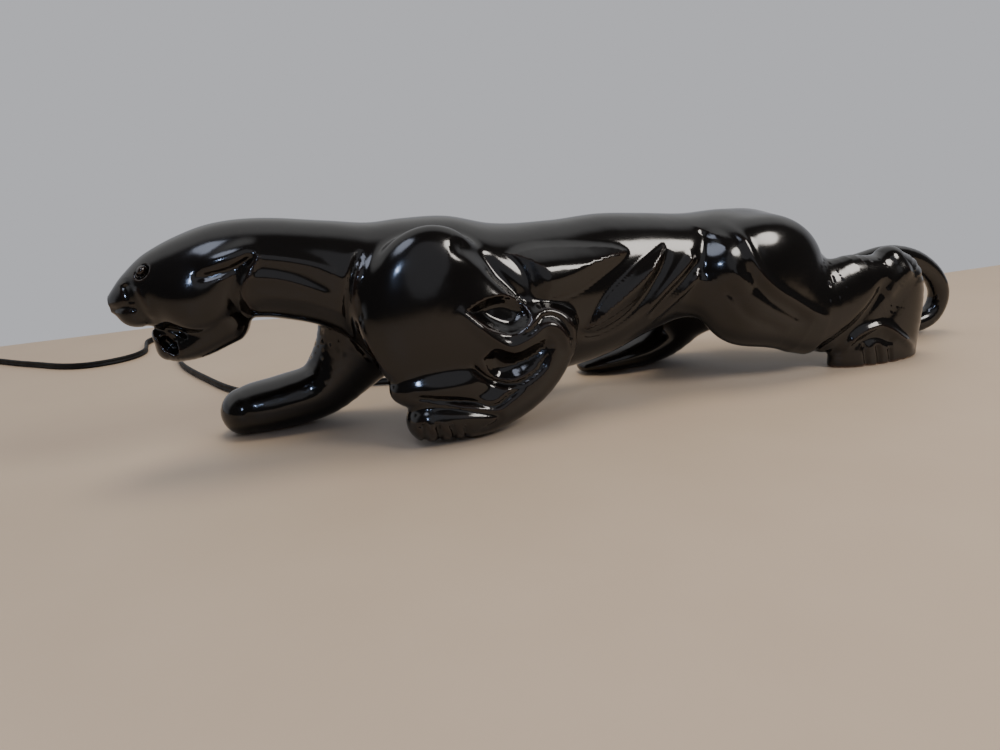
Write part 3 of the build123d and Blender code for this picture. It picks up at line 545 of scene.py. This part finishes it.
def figure():
    """The casting's skin, found on a fine lattice and then drawn exactly on to the form."""
    mesh = skin_from_lattice()
    for low, high in FINE_REGIONS:
        refine(mesh, np.array(low), np.array(high))
    p = np.empty(len(mesh.vertices) * 3)
    mesh.vertices.foreach_get("co", p)
    p = p.reshape(-1, 3)
    for _ in range(4):
        out = gradient(p)
        size = np.maximum((out**2).sum(1), 0.04)
        p = p - np.clip(casting(p), -1, 1)[:, None] * out / size[:, None]
    out = gradient(p)
    out /= np.maximum(np.linalg.norm(out, axis=1), TINY)[:, None]
    flat = casting(p)
    steps = BEND_REACH * np.eye(3)
    bend = sum(casting(p + e) + casting(p - e) - 2 * flat for e in steps) / BEND_REACH**2
    mesh.vertices.foreach_set("co", ((p + np.array([NOSE_X, 0, 0])) * MM).ravel())
    ridge = mesh.attributes.new("ridge", "FLOAT", "POINT")
    ridge.data.foreach_set("value", np.clip((bend - 0.18) / 0.5, 0, 1))
    mesh.update()
    made = bmesh.new()
    made.from_mesh(mesh)
    bmesh.ops.recalc_face_normals(made, faces=made.faces)
    if made.calc_volume(signed=True) < 0:
        bmesh.ops.reverse_faces(made, faces=made.faces)
    made.to_mesh(mesh)
    made.free()
    mesh.polygons.foreach_set("use_smooth", [True] * len(mesh.polygons))
    mesh.normals_split_custom_set_from_vertices(out.tolist())
    mesh.materials.append(GLAZE)
    obj = bpy.data.objects.new("panther", mesh)
    bpy.context.scene.collection.objects.link(obj)
    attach(obj, "lamp")
    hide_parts("panther_body")


# boxes where the skin is made finer: near flank, head, face
FINE_REGIONS = [
    ((100, -70, -5), (478, -12, 116)),
    ((-5, -40, 50), (100, 24, 130)),
    ((-5, -26, 56), (27, 8, 112)),
]


def refine(mesh, low, high):
    """Quarters the outer skin's faces inside a box of the figure."""
    made = bmesh.new()
    made.from_mesh(mesh)
    centres = np.array([f.calc_center_median() for f in made.faces])
    chosen = np.all((centres > low) & (centres < high), axis=1)
    chosen[chosen] = trunk_form(centres[chosen], WALL) > WALL / 2
    made.faces.ensure_lookup_table()
    edges = list({e for i in np.flatnonzero(chosen) for e in made.faces[i].edges})
    bmesh.ops.subdivide_edges(made, edges=edges, cuts=1, use_grid_fill=True)
    odd = [f for f in made.faces if len(f.verts) > 4]
    bmesh.ops.triangulate(made, faces=odd)
    made.to_mesh(mesh)
    made.free()


figure()


# ---------------------------------------------------------------- finishes of the small pieces
def darker(colour, share):
    """A hex colour with each part cut down to a share of itself."""
    return "#" + "".join(f"{int(int(colour[i : i + 2], 16) * share):02x}" for i in (1, 3, 5))


def dress(tree, shader, toned, raised, gloss=None):
    """The nodes that make a finish's colour, skin and gloss, linked to its shader."""
    tree.links.new(toned.outputs[MIXED], shader.inputs["Base Color"])
    tree.links.new(raised.outputs["Normal"], shader.inputs["Normal"])
    if gloss:
        tree.links.new(gloss.outputs["Result"], shader.inputs["Roughness"])


def plain(name, colour, rough, grain, depth, spread=0.08, **sockets):
    """A moulded, cast or drawn finish: a mottle six grains wide takes it from its colour to a darker one
    and shifts its gloss, and a grain of a real size, in mm, lifts its skin by depth."""
    made, tree, shader = material(name, {"Base Color": colour, "Roughness": rough, **sockets})
    where = add(tree, "ShaderNodeTexCoord").outputs["Object"]
    mottle = add(tree, "ShaderNodeTexNoise", {"Vector": where, "Scale": every(grain * 6), "Detail": 3.0})
    toned = add(
        tree,
        "ShaderNodeMix",
        {"Factor": mottle.outputs["Fac"], FIRST: darker(colour, 0.72), SECOND: colour},
        data_type="RGBA",
    )
    gloss = add(
        tree,
        "ShaderNodeMapRange",
        {
            "Value": mottle.outputs["Fac"],
            "From Min": 0.3,
            "From Max": 0.7,
            "To Min": max(rough - spread, 0.02),
            "To Max": rough + spread,
        },
    )
    skin = add(tree, "ShaderNodeTexNoise", {"Vector": where, "Scale": every(grain)})
    raised = add(tree, "ShaderNodeBump", {"Height": skin.outputs["Fac"], "Distance": depth * MM})
    dress(tree, shader, toned, raised, gloss)
    return made


LINE_STRETCH = 0.04  # tool lines are this much finer across than along


def worked(name, colour, rough, axis, line, depth):
    """Rolled or spun metal: tool lines of a real width, in mm, and a slow brown tarnish."""
    made, tree, shader = material(name, {"Base Color": colour, "Roughness": rough, "Metallic": 1.0})
    where = add(tree, "ShaderNodeTexCoord").outputs["Object"]
    stretch = [LINE_STRETCH] * 3
    stretch[axis] = 1.0
    drawn = add(tree, "ShaderNodeMapping", {"Vector": where, "Scale": stretch}).outputs[0]
    lines = add(
        tree,
        "ShaderNodeTexNoise",
        {"Vector": drawn, "Scale": every(line), "Detail": 4.0, "Roughness": 0.6},
    ).outputs["Fac"]
    cloud = add(tree, "ShaderNodeTexNoise", {"Vector": where, "Scale": every(5), "Detail": 3}).outputs["Fac"]
    tarnish = add(tree, "ShaderNodeMapRange", {"Value": cloud, "From Min": 0.42, "From Max": 0.7}).outputs[0]
    toned = add(
        tree,
        "ShaderNodeMix",
        {"Factor": tarnish, FIRST: colour, SECOND: darker(colour, 0.6)},
        data_type="RGBA",
    )
    gloss = add(
        tree,
        "ShaderNodeMapRange",
        {"Value": lines, "From Min": 0.3, "From Max": 0.7, "To Min": rough * 0.7, "To Max": rough * 1.4},
    )
    raised = add(tree, "ShaderNodeBump", {"Height": lines, "Distance": depth * MM})
    dress(tree, shader, toned, raised, gloss)
    return made


def fibre_board():
    """Pressed grey-brown fibre board, rolled into a tube, with long pale fibres in it."""
    made, tree, shader = material("pressed fibre board", {"Base Color": "#8a7a63", "Roughness": 0.85})
    where = add(tree, "ShaderNodeTexCoord").outputs["Object"]
    along = add(tree, "ShaderNodeMapping", {"Vector": where, "Scale": (0.25, 1, 1)}).outputs[0]
    fibres = add(
        tree,
        "ShaderNodeTexNoise",
        {"Vector": along, "Scale": every(0.9), "Detail": 5.0, "Roughness": 0.7},
    ).outputs["Fac"]
    pale = add(tree, "ShaderNodeMapRange", {"Value": fibres, "From Min": 0.35, "From Max": 0.65}).outputs[0]
    toned = add(tree, "ShaderNodeMix", {"Factor": pale, FIRST: "#6b5c48", SECOND: "#a39378"}, data_type="RGBA")
    raised = add(tree, "ShaderNodeBump", {"Height": fibres, "Distance": 0.05 * MM})
    dress(tree, shader, toned, raised)
    return made


def frosted_glass():
    """Bulb glass etched white inside: milky, with a faint brown cloud from its years of burning."""
    made, tree, shader = material(
        "inside-frosted bulb glass",
        {"Base Color": "#e9e7e0", "Roughness": 0.35, "IOR": 1.5, "Transmission Weight": 0.45},
    )
    where = add(tree, "ShaderNodeTexCoord").outputs["Object"]
    cloud = add(tree, "ShaderNodeTexNoise", {"Vector": where, "Scale": every(14.0)}).outputs["Fac"]
    burnt = add(tree, "ShaderNodeMapRange", {"Value": cloud, "From Min": 0.35, "From Max": 0.75}).outputs[0]
    toned = add(tree, "ShaderNodeMix", {"Factor": burnt, FIRST: "#efede7", SECOND: "#d8d3c6"}, data_type="RGBA")
    gloss = add(
        tree,
        "ShaderNodeMapRange",
        {"Value": cloud, "From Min": 0.3, "From Max": 0.7, "To Min": 0.28, "To Max": 0.42},
    )
    etch = add(tree, "ShaderNodeTexNoise", {"Vector": where, "Scale": every(0.6)}).outputs["Fac"]
    raised = add(tree, "ShaderNodeBump", {"Height": etch, "Distance": 0.01 * MM})
    dress(tree, shader, toned, raised, gloss)
    return made


def clear_glass():
    """Clear glass tube, drawn while hot, with faint draw lines."""
    made, tree, shader = material(
        "drawn clear glass",
        {"Base Color": "#f2f5f3", "Roughness": 0.03, "IOR": 1.5, "Transmission Weight": 0.95},
    )
    where = add(tree, "ShaderNodeTexCoord").outputs["Object"]
    along = add(tree, "ShaderNodeMapping", {"Vector": where, "Scale": (0.1, 1, 1)}).outputs[0]
    lines = add(tree, "ShaderNodeTexNoise", {"Vector": along, "Scale": every(1.0)}).outputs["Fac"]
    raised = add(tree, "ShaderNodeBump", {"Height": lines, "Distance": 0.02 * MM})
    tree.links.new(raised.outputs["Normal"], shader.inputs["Normal"])
    return made


FINISHES = {
    "black_glazed_ceramic": GLAZE,
    # rolled strip, barrel-plated: a soft grey shine with fine rolling lines across it
    "zinc_steel": worked("zinc-plated steel strip", "#b9bcbe", 0.32, 1, 0.35, 0.006),
    # spun on a lathe and lacquered: rings round the shell, browned where the lacquer has worn
    "brass": worked("spun brass, lacquered", "#c7a24f", 0.24, 0, 0.30, 0.006),
    "fibre_board": fibre_board(),
    # pressed from powder: black-brown and only half glossy
    "black_phenolic": plain("black phenolic moulding", "#15120f", 0.42, 0.5, 0.01),
    # rolled thin and threaded: bright, with faint rolling rings
    "aluminium": worked("rolled aluminium cap", "#c6c8ca", 0.30, 0, 0.25, 0.004),
    # a drop that froze: grey and slightly lumpy
    "solder": plain("tin-lead solder", "#a9abab", 0.35, 0.6, 0.03, Metallic=1.0),
    # poured molten round the contact: near mirror black
    "black_glass": plain("black glass insulator", "#08080a", 0.10, 0.8, 0.006, 0.04),
    "frosted_glass": frosted_glass(),
    "clear_glass": clear_glass(),
    # drawn wire: dull dark grey
    "tungsten": plain("drawn tungsten", "#77787a", 0.40, 0.2, 0.004, Metallic=1.0),
    # moulded and a little bloomed: matt black
    "black_rubber": plain("moulded black rubber", "#121211", 0.62, 0.35, 0.012),
    # extruded warm: smooth black with a low sheen
    "black_cord": plain("extruded black vinyl", "#070708", 0.55, 0.7, 0.008, IOR=1.38),
    # fine strands twisted together: warm metal
    "copper": plain("tinned copper strand", "#b87a52", 0.33, 0.25, 0.006, Metallic=1.0),
    # pressed and then buffed: glossy black
    "black_phenolic_gloss": plain("polished black phenolic", "#100e0c", 0.20, 0.6, 0.005, 0.06),
    # moulded and yellowed: ivory with a low sheen
    "ivory_plastic": plain("ivory urea plastic", "#d9cfae", 0.36, 0.6, 0.006),
}


# every piece that shows as built gets the finish of its slot
for part in frame["record"]["subparts"]:
    made_of = frame["nodes"][part["node"]].data.materials
    made_of.clear()
    made_of.append(FINISHES[part["material_slot"]])


def put(name, mesh, finish, body="lamp", stands_for=(), smooth=True):
    """A finished piece on its body, in place of the CAD nodes it stands for."""
    mesh.materials.clear()
    mesh.materials.append(FINISHES[finish])
    mesh.polygons.foreach_set("use_smooth", [smooth] * len(mesh.polygons))
    obj = bpy.data.objects.new(name, mesh)
    bpy.context.scene.collection.objects.link(obj)
    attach(obj, body)
    if stands_for:
        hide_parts(*stands_for)
    return obj


def mesh_of(name, points, faces):
    """A closed mesh, its doubled points merged and its faces turned outwards."""
    mesh = bpy.data.meshes.new(name)
    mesh.from_pydata([tuple(p) for p in points], [], faces)
    made = bmesh.new()
    made.from_mesh(mesh)
    bmesh.ops.remove_doubles(made, verts=made.verts, dist=1e-7)
    bmesh.ops.recalc_face_normals(made, faces=made.faces)
    if made.calc_volume(signed=True) < 0:
        bmesh.ops.reverse_faces(made, faces=made.faces)
    made.to_mesh(mesh)
    made.free()
    return mesh


def sides(rings, count, ends_meet=False):
    """The four-cornered faces between rings of count points each."""
    faces = []
    for i in range(rings if ends_meet else rings - 1):
        here, there = i * count, (i + 1) % rings * count
        for k in range(count):
            m = (k + 1) % count
            faces.append((here + k, here + m, there + m, there + k))
    return faces


def loft(name, rings):
    """A closed skin through rings of the same count of points, capped at both ends."""
    count = len(rings[0])
    last = (len(rings) - 1) * count
    caps = [tuple(range(count)), tuple(reversed(range(last, last + count)))]
    return mesh_of(name, [p for ring in rings for p in ring], sides(len(rings), count) + caps)


# ---------------------------------------------------------------- the two-wire cord
WIRE = 1.3  # each wire's covering, half its thickness
FINE = 10  # steps from one route point to the next
LOBE = np.radians(np.linspace(-142, 142, 12))  # round one wire, as far as the groove between the two
STEEP = 0.15  # a run nearer to upright than this keeps the side it had


def spline_line(points):
    """The smooth line that a cord's route points pull into shape."""
    curve = bpy.data.curves.new("route", "CURVE")
    curve.dimensions = "3D"
    spline = curve.splines.new("NURBS")
    spline.points.add(len(points) - 1)
    for at, p in zip(spline.points, points):
        at.co = (p[0] * MM, p[1] * MM, p[2] * MM, 1)
    spline.order_u = 3
    spline.use_endpoint_u = True
    spline.resolution_u = FINE
    obj = bpy.data.objects.new("route", curve)
    bpy.context.scene.collection.objects.link(obj)
    mesh = bpy.data.meshes.new_from_object(obj)
    line = np.array([v.co for v in mesh.vertices])
    bpy.data.objects.remove(obj)
    bpy.data.curves.remove(curve)
    bpy.data.meshes.remove(mesh)
    keep = np.r_[True, np.linalg.norm(np.diff(line, axis=0), axis=1) > 1e-6]
    return line[keep]


def ribbon(name, line, turned):
    """Two round wires side by side in one covering, laid along a line; turned pairs each share of the
    line with its roll in degrees."""
    step = np.gradient(line, axis=0)
    step /= np.linalg.norm(step, axis=1)[:, None]
    side = np.cross(step, (0, 0, 1))
    for i in range(len(side)):
        size = np.linalg.norm(side[i])
        side[i] = side[i] / size if size > STEEP else (side[i - 1] if i else (1, 0, 0))
    up = np.cross(side, step)
    share = np.r_[0, np.cumsum(np.linalg.norm(np.diff(line, axis=0), axis=1))]
    share /= share[-1]
    roll = np.interp(share, [a for a, _ in turned], [math.radians(b) for _, b in turned])
    lobe = [(WIRE + WIRE * math.cos(a), WIRE * math.sin(a)) for a in LOBE]
    section = lobe + [(-x, -y) for x, y in lobe]
    rings = []
    for at, s, u, r in zip(line, side, up, roll):
        c, n = math.cos(r), math.sin(r)
        rings.append([at + (s * (x * c - y * n) + u * (x * n + y * c)) * MM for x, y in section])
    return loft(name, rings)


CORD_EXIT = (-100, 24.10, 31.10)
# from the casting to the switch: along the table behind the head, out to the left and back
FLEX_TO_SWITCH = [
    CORD_EXIT, (-100, 37.2, 20.3), (-103, 56, 6), (-112, 77, 2.6), (-133, 91, 2.6), (-163, 94, 2.6),
    (-196, 98, 2.6), (-220, 113, 2.6), (-234, 139, 2.6), (-244, 166, 2.6), (-255, 196, 2.6),
    (-265, 228, 2.6), (-270, 264, 2.6), (-266, 300, 2.6), (-259, 328, 2.6), (-259, 350, 2.6),
    (-269, 366, 2.6), (-288, 368, 2.6), (-301, 353, 2.6), (-300, 331, 2.6), (-298, 308, 2.6),
    (-307, 290, 2.6), (-324, 281, 2.6), (-344, 280, 2.6), (-364, 291, 2.6), (-383, 311, 2.6),
    (-403, 330, 2.6), (-421, 351, 2.6), (-437, 365, 2.6), (-452, 376, 3.4), (-467, 381, 7), (-481.8, 381, 7),
]
# flat where it leaves the casting, on its edge along the table, flat again at the switch
FLEX_ROLL = [(0, 0), (0.05, 0), (0.17, 80), (0.45, 96), (0.7, 84), (0.93, 90), (0.97, 180), (1, 180)]
TO_COIL = [(-524.2, 381, 7), (-540, 381, 6), (-554, 374, 2.4), (-561, 357, 1.4), (-563.5, 337, 1.4)]
OUT_OF_COIL = [(-504, 272, 5.2), (-489, 266, 2.2), (-480, 252, 2.4), (-478, 238, 6), (-478, 223, 6)]
COIL_AT = (-523, 312)
# turns gone round, distance from the middle, height: two turns flat, then back over them
COIL_TURNS = [
    (0.0, 41.5, 1.4), (0.72, 42.2, 1.4), (0.93, 36.8, 1.4), (1.72, 36.8, 1.5),
    (1.97, 39.4, 4.15), (2.70, 39.4, 4.15), (2.95, 38.8, 6.8), (3.22, 38.4, 6.8),
]
POINTS_A_TURN = 14


def coil_points():
    """The coil's route points, a fixed number to each turn."""
    turns, outs, heights = zip(*COIL_TURNS)
    points = []
    for i in range(int(turns[-1] * POINTS_A_TURN) + 1):
        gone = i / POINTS_A_TURN
        out = np.interp(gone, turns, outs)
        angle = math.pi + 2 * math.pi * gone
        x, y = COIL_AT[0] + out * math.cos(angle), COIL_AT[1] + out * math.sin(angle)
        points.append((x, y, np.interp(gone, turns, heights)))
    return points


# ---------------------------------------------------------------- plug, switch wheel and tie
def soft_box(half_x, half_z, corner, steps=6):
    """A rounded rectangle's points about its middle."""
    points = []
    for cx, cz, start in ((1, 1, 0), (-1, 1, 90), (-1, -1, 180), (1, -1, 270)):
        for i in range(steps + 1):
            a = math.radians(start + 90 * i / steps)
            x, z = corner * math.cos(a), corner * math.sin(a)
            points.append((cx * (half_x - corner) + x, cz * (half_z - corner) + z))
    return points


PLUG_X, PLUG_Z = -478.0, 6.0
# the plug's nose and grip: place along Y, half width, half height
PLUG_NOSE = [(197.0, 9.6, 5.2), (197.6, 10.4, 5.8), (201, 11, 6), (205, 10.8, 5.9)]
PLUG_NECK = [(217.2, 8.4, 5.0), (218.4, 6.2, 4.0)]
RIBS = 4
SOFT = 0.62  # how round the plug's corners are


def moulded_plug():
    """A plug moulded on the cord: a waisted grip with finger ribs and a ribbed tail that keeps the cord
    from kinking."""
    stations = list(PLUG_NOSE)
    for i in range(RIBS):
        y, wide = 206 + 2.6 * i, 9.9 - 0.2 * i
        waist = wide - 0.7
        stations += [(y, wide, 5.5), (y + 0.5, waist, 4.9), (y + 1.4, waist, 4.9), (y + 1.9, wide, 5.5)]
    stations += PLUG_NECK
    for i in range(RIBS):
        y, wide, high = 219 + 2.0 * i, 4.9 - 0.35 * i, 3.6 - 0.3 * i
        slim, low = 4.1 - 0.3 * i, 2.9 - 0.25 * i
        stations += [(y, wide, high), (y + 0.4, slim, low), (y + 1.2, slim, low), (y + 1.6, wide, high)]
    rings = []
    for y, half_x, half_z in stations:
        outline = soft_box(half_x, half_z, min(half_x, half_z) * SOFT)
        rings.append([((PLUG_X + x) * MM, y * MM, (PLUG_Z + z) * MM) for x, z in outline])
    return loft("plug_moulding", rings)


TIE_THICK, TIE_HALF_WIDE, TIE_CORNER = 0.3, 1.8, 2.0


def cord_tie(middle, half_x, half_z):
    """A flat tie pulled tight round the coil's turns."""
    rings = []
    for x, z in soft_box(half_x, half_z, TIE_CORNER):
        grow = 1 + TIE_THICK / math.hypot(x, z)
        section = ((1, -TIE_HALF_WIDE), (grow, -TIE_HALF_WIDE), (grow, TIE_HALF_WIDE), (1, TIE_HALF_WIDE))
        rings.append([(middle[0] + x * s, middle[1] + y, middle[2] + z * s) for s, y in section])
    points = [[c * MM for c in p] for ring in rings for p in ring]
    return mesh_of("coil_tie", points, sides(len(rings), 4, ends_meet=True))


WHEEL_AT = (-0.503, 0.376, 0.007)
TEETH = 30


def toothed_wheel_tree():
    """Geometry nodes for a thumb wheel: a disc with round teeth set evenly about its rim."""
    tree = bpy.data.node_groups.new("toothed wheel", "GeometryNodeTree")
    tree.interface.new_socket("Geometry", in_out="OUTPUT", socket_type="NodeSocketGeometry")
    named = {}
    for name, kind, value in (
        ("Teeth", "NodeSocketInt", TEETH),
        ("Radius", "NodeSocketFloat", 8.55 * MM),
        ("Height", "NodeSocketFloat", 4.6 * MM),
        ("Tooth", "NodeSocketFloat", 0.44 * MM),
    ):
        made = tree.interface.new_socket(name, in_out="INPUT", socket_type=kind)
        made.default_value = value
        named[name] = made.identifier
    given = add(tree, "NodeGroupInput").outputs
    sizes = {"Radius": given["Radius"], "Depth": given["Height"], "Vertices": 64}
    disc = add(tree, "GeometryNodeMeshCylinder", sizes)
    tooth = add(tree, "GeometryNodeMeshCylinder", {**sizes, "Radius": given["Tooth"], "Vertices": 8})
    rim = {"Resolution": given["Teeth"], "Radius": given["Radius"]}
    ring = add(tree, "GeometryNodeCurvePrimitiveCircle", rim)
    spots = {"Curve": ring.outputs[0], "Count": given["Teeth"]}
    points = add(tree, "GeometryNodeCurveToPoints", spots, mode="COUNT")
    teeth = add(
        tree,
        "GeometryNodeInstanceOnPoints",
        {"Points": points.outputs[0], "Instance": tooth.outputs["Mesh"]},
    )
    both = add(tree, "GeometryNodeJoinGeometry", {0: disc.outputs["Mesh"]})
    tree.links.new(teeth.outputs[0], both.inputs[0])
    whole = add(tree, "GeometryNodeRealizeInstances", {"Geometry": both.outputs[0]})
    finish = {"Geometry": whole.outputs[0], "Material": FINISHES["ivory_plastic"]}
    painted = add(tree, "GeometryNodeSetMaterial", finish)
    add(tree, "NodeGroupOutput", {0: painted.outputs[0]})
    return tree, named


def switch_wheel():
    """The wheel that the nodes make, as a plain mesh on its post."""
    tree, named = toothed_wheel_tree()
    obj = bpy.data.objects.new("wheel seed", bpy.data.meshes.new("wheel seed"))
    bpy.context.scene.collection.objects.link(obj)
    modifier = obj.modifiers.new("teeth", "NODES")
    modifier.node_group = tree
    modifier[named["Teeth"]] = TEETH
    bpy.context.view_layer.update()
    made = bpy.data.meshes.new_from_object(obj.evaluated_get(bpy.context.evaluated_depsgraph_get()))
    bpy.data.objects.remove(obj)
    made.transform(Matrix.Translation(WHEEL_AT))
    return put(
        "thumb_wheel_toothed",
        made,
        "ivory_plastic",
        "thumb_wheel",
        stands_for=("switch_thumb_wheel",),
        smooth=False,
    )


LEAD = 3.629  # a medium base's thread, seven turns to the inch
BRACKET_X = -88
AROUND = 48
FADE = 2.0  # the thread runs in and out over this length


def threaded_shell(name, start, long, radius, depth, wall):
    """A rolled thread on a thin shell along X: a wave that runs round it in a helix."""
    rows = int(long * 2) + 1
    rings = []
    outward = [(long * i / (rows - 1), 0.0) for i in range(rows)]
    for x, inset in outward + [(x, wall) for x, _ in reversed(outward)]:
        ring = []
        for k in range(AROUND):
            a = 2 * math.pi * k / AROUND
            ease = min(1, x / FADE, (long - x) / FADE)
            wave = depth * ease * math.sin(2 * math.pi * (x / LEAD) - a)
            r = radius - depth + wave - inset
            at = (BRACKET_X + start + x, r * math.cos(a), LAMP_HEIGHT + r * math.sin(a))
            ring.append([c * MM for c in at])
        rings.append(ring)
    return mesh_of(name, [p for ring in rings for p in ring], sides(len(rings), AROUND, ends_meet=True))


def cords_and_fittings():
    plug = put("plug_moulding", moulded_plug(), "black_phenolic_gloss", stands_for=("plug_body",))
    wheel = switch_wheel()
    tie_at = (COIL_AT[0] + 39.4, COIL_AT[1] + 4, 2.9)
    tie = put("coil_tie", cord_tie(tie_at, 5.9, 2.6), "black_rubber")
    line = spline_line(FLEX_TO_SWITCH)
    band = ribbon("flex_to_switch", line, FLEX_ROLL)
    run = put("flex_to_switch", band, "black_cord", stands_for=("cord_run",))
    line = spline_line(TO_COIL + coil_points() + OUT_OF_COIL)
    rest = put(
        "flex_in_coil",
        ribbon("flex_in_coil", line, [(0, 0), (1, 0)]),
        "black_cord",
        stands_for=("cord_to_coil", "cord_coil", "cord_to_plug"),
    )


cords_and_fittings()
cap = threaded_shell("bulb_cap_thread", 39.6, 20, 13.0, 0.55, 0.4)
put("bulb_cap_thread", cap, "aluminium", "bulb", stands_for=("bulb_base",))
screw = threaded_shell("socket_thread", 31.3, 22, 13.62, 0.10, 0.2)
put("socket_thread", screw, "aluminium", stands_for=("screw_shell",))


# ---------------------------------------------------------------- floor and light
TABLE_EDGE = [(-2.6, -2.4), (2.6, -2.4), (2.6, 0.10), (0.45, 0.16), (0.1, 0.30), (-0.3, 0.44), (-2.6, 0.50)]


def floor():
    """A matt painted table top with a slow warm mottle; it stops where the wall behind it begins."""
    mesh = bpy.data.meshes.new("table top")
    mesh.from_pydata([(x, y, 0) for x, y in TABLE_EDGE], [], [tuple(range(len(TABLE_EDGE)))])
    made, tree, shader = material("matt table top", {"Base Color": "#a9977f", "Roughness": 0.55})
    where = add(tree, "ShaderNodeTexCoord").outputs["Object"]
    mottle = add(tree, "ShaderNodeTexNoise", {"Vector": where, "Scale": every(60.0), "Detail": 3.0})
    toned = add(
        tree,
        "ShaderNodeMix",
        {"Factor": mottle.outputs["Fac"], FIRST: "#a69480", SECOND: "#ad9c88"},
        data_type="RGBA",
    )
    tree.links.new(toned.outputs[MIXED], shader.inputs["Base Color"])
    mesh.materials.append(made)
    obj = bpy.data.objects.new("table_top", mesh)
    bpy.context.scene.collection.objects.link(obj)


def lamp(name, at, to, size, power, colour="#ffffff"):
    data = bpy.data.lights.new(name, "AREA")
    data.shape = "DISK"
    data.size = size
    data.energy = power
    data.color = linear(colour)[:3]
    obj = bpy.data.objects.new(name, data)
    aim = (Vector(at) - Vector(to)).to_track_quat("Z", "Y")
    obj.matrix_world = Matrix.Translation(at) @ aim.to_matrix().to_4x4()
    bpy.context.scene.collection.objects.link(obj)
    return obj


def lights():
    """A pale wall to the far side, brighter above; a dim room behind; a window, a lamp and a ceiling."""
    world = bpy.data.worlds.new("room")
    bpy.context.scene.world = world
    world.use_nodes = True
    tree = world.node_tree
    sky = tree.nodes["Background"]
    way = add(tree, "ShaderNodeTexCoord").outputs["Generated"]
    split = add(tree, "ShaderNodeSeparateXYZ", {0: way})
    wall = add(
        tree, "ShaderNodeMapRange", {"Value": split.outputs["Y"], "From Min": -0.12, "From Max": 0.12}
    ).outputs[0]
    upper = add(
        tree, "ShaderNodeMapRange", {"Value": split.outputs["Z"], "From Min": 0.30, "From Max": 0.55}
    ).outputs[0]
    bright = add(tree, "ShaderNodeMath", {0: wall, 1: upper}, operation="MULTIPLY").outputs[0]
    shade = add(tree, "ShaderNodeMix", {"Factor": wall, FIRST: "#504f50", SECOND: "#d0d1d6"}, data_type="RGBA")
    lit = {"Factor": bright, FIRST: shade.outputs[MIXED], SECOND: "#ffffff"}
    shade = add(tree, "ShaderNodeMix", lit, data_type="RGBA")
    tree.links.new(shade.outputs[MIXED], sky.inputs["Color"])
    sky.inputs["Strength"].default_value = 0.82
    lamp("window", (0.62, -0.70, 0.80), (0.05, 0, 0.07), 0.44, 8.5, "#fff8f0")
    lamp("flash", (-0.42, -0.62, 0.42), (-0.1, 0, 0.06), 0.05, 0.9, "#b9d2ff")
    lamp("room light", (-0.50, -0.42, 1.10), (-0.15, 0, 0.06), 0.50, 3.2, "#dfe8ff")
    lamp("pale room behind the viewer", (0.05, -1.15, 0.72), (-0.1, 0, 0.08), 1.15, 1.3, "#f4f6ff")
    over = lamp("ceiling", (0.1, 0.2, 1.9), (0, 0, 0), 0.9, 20, "#fff0dc")
    over.visible_glossy = False  # it lights the table, and the glaze doesn't mirror it


floor()
lights()
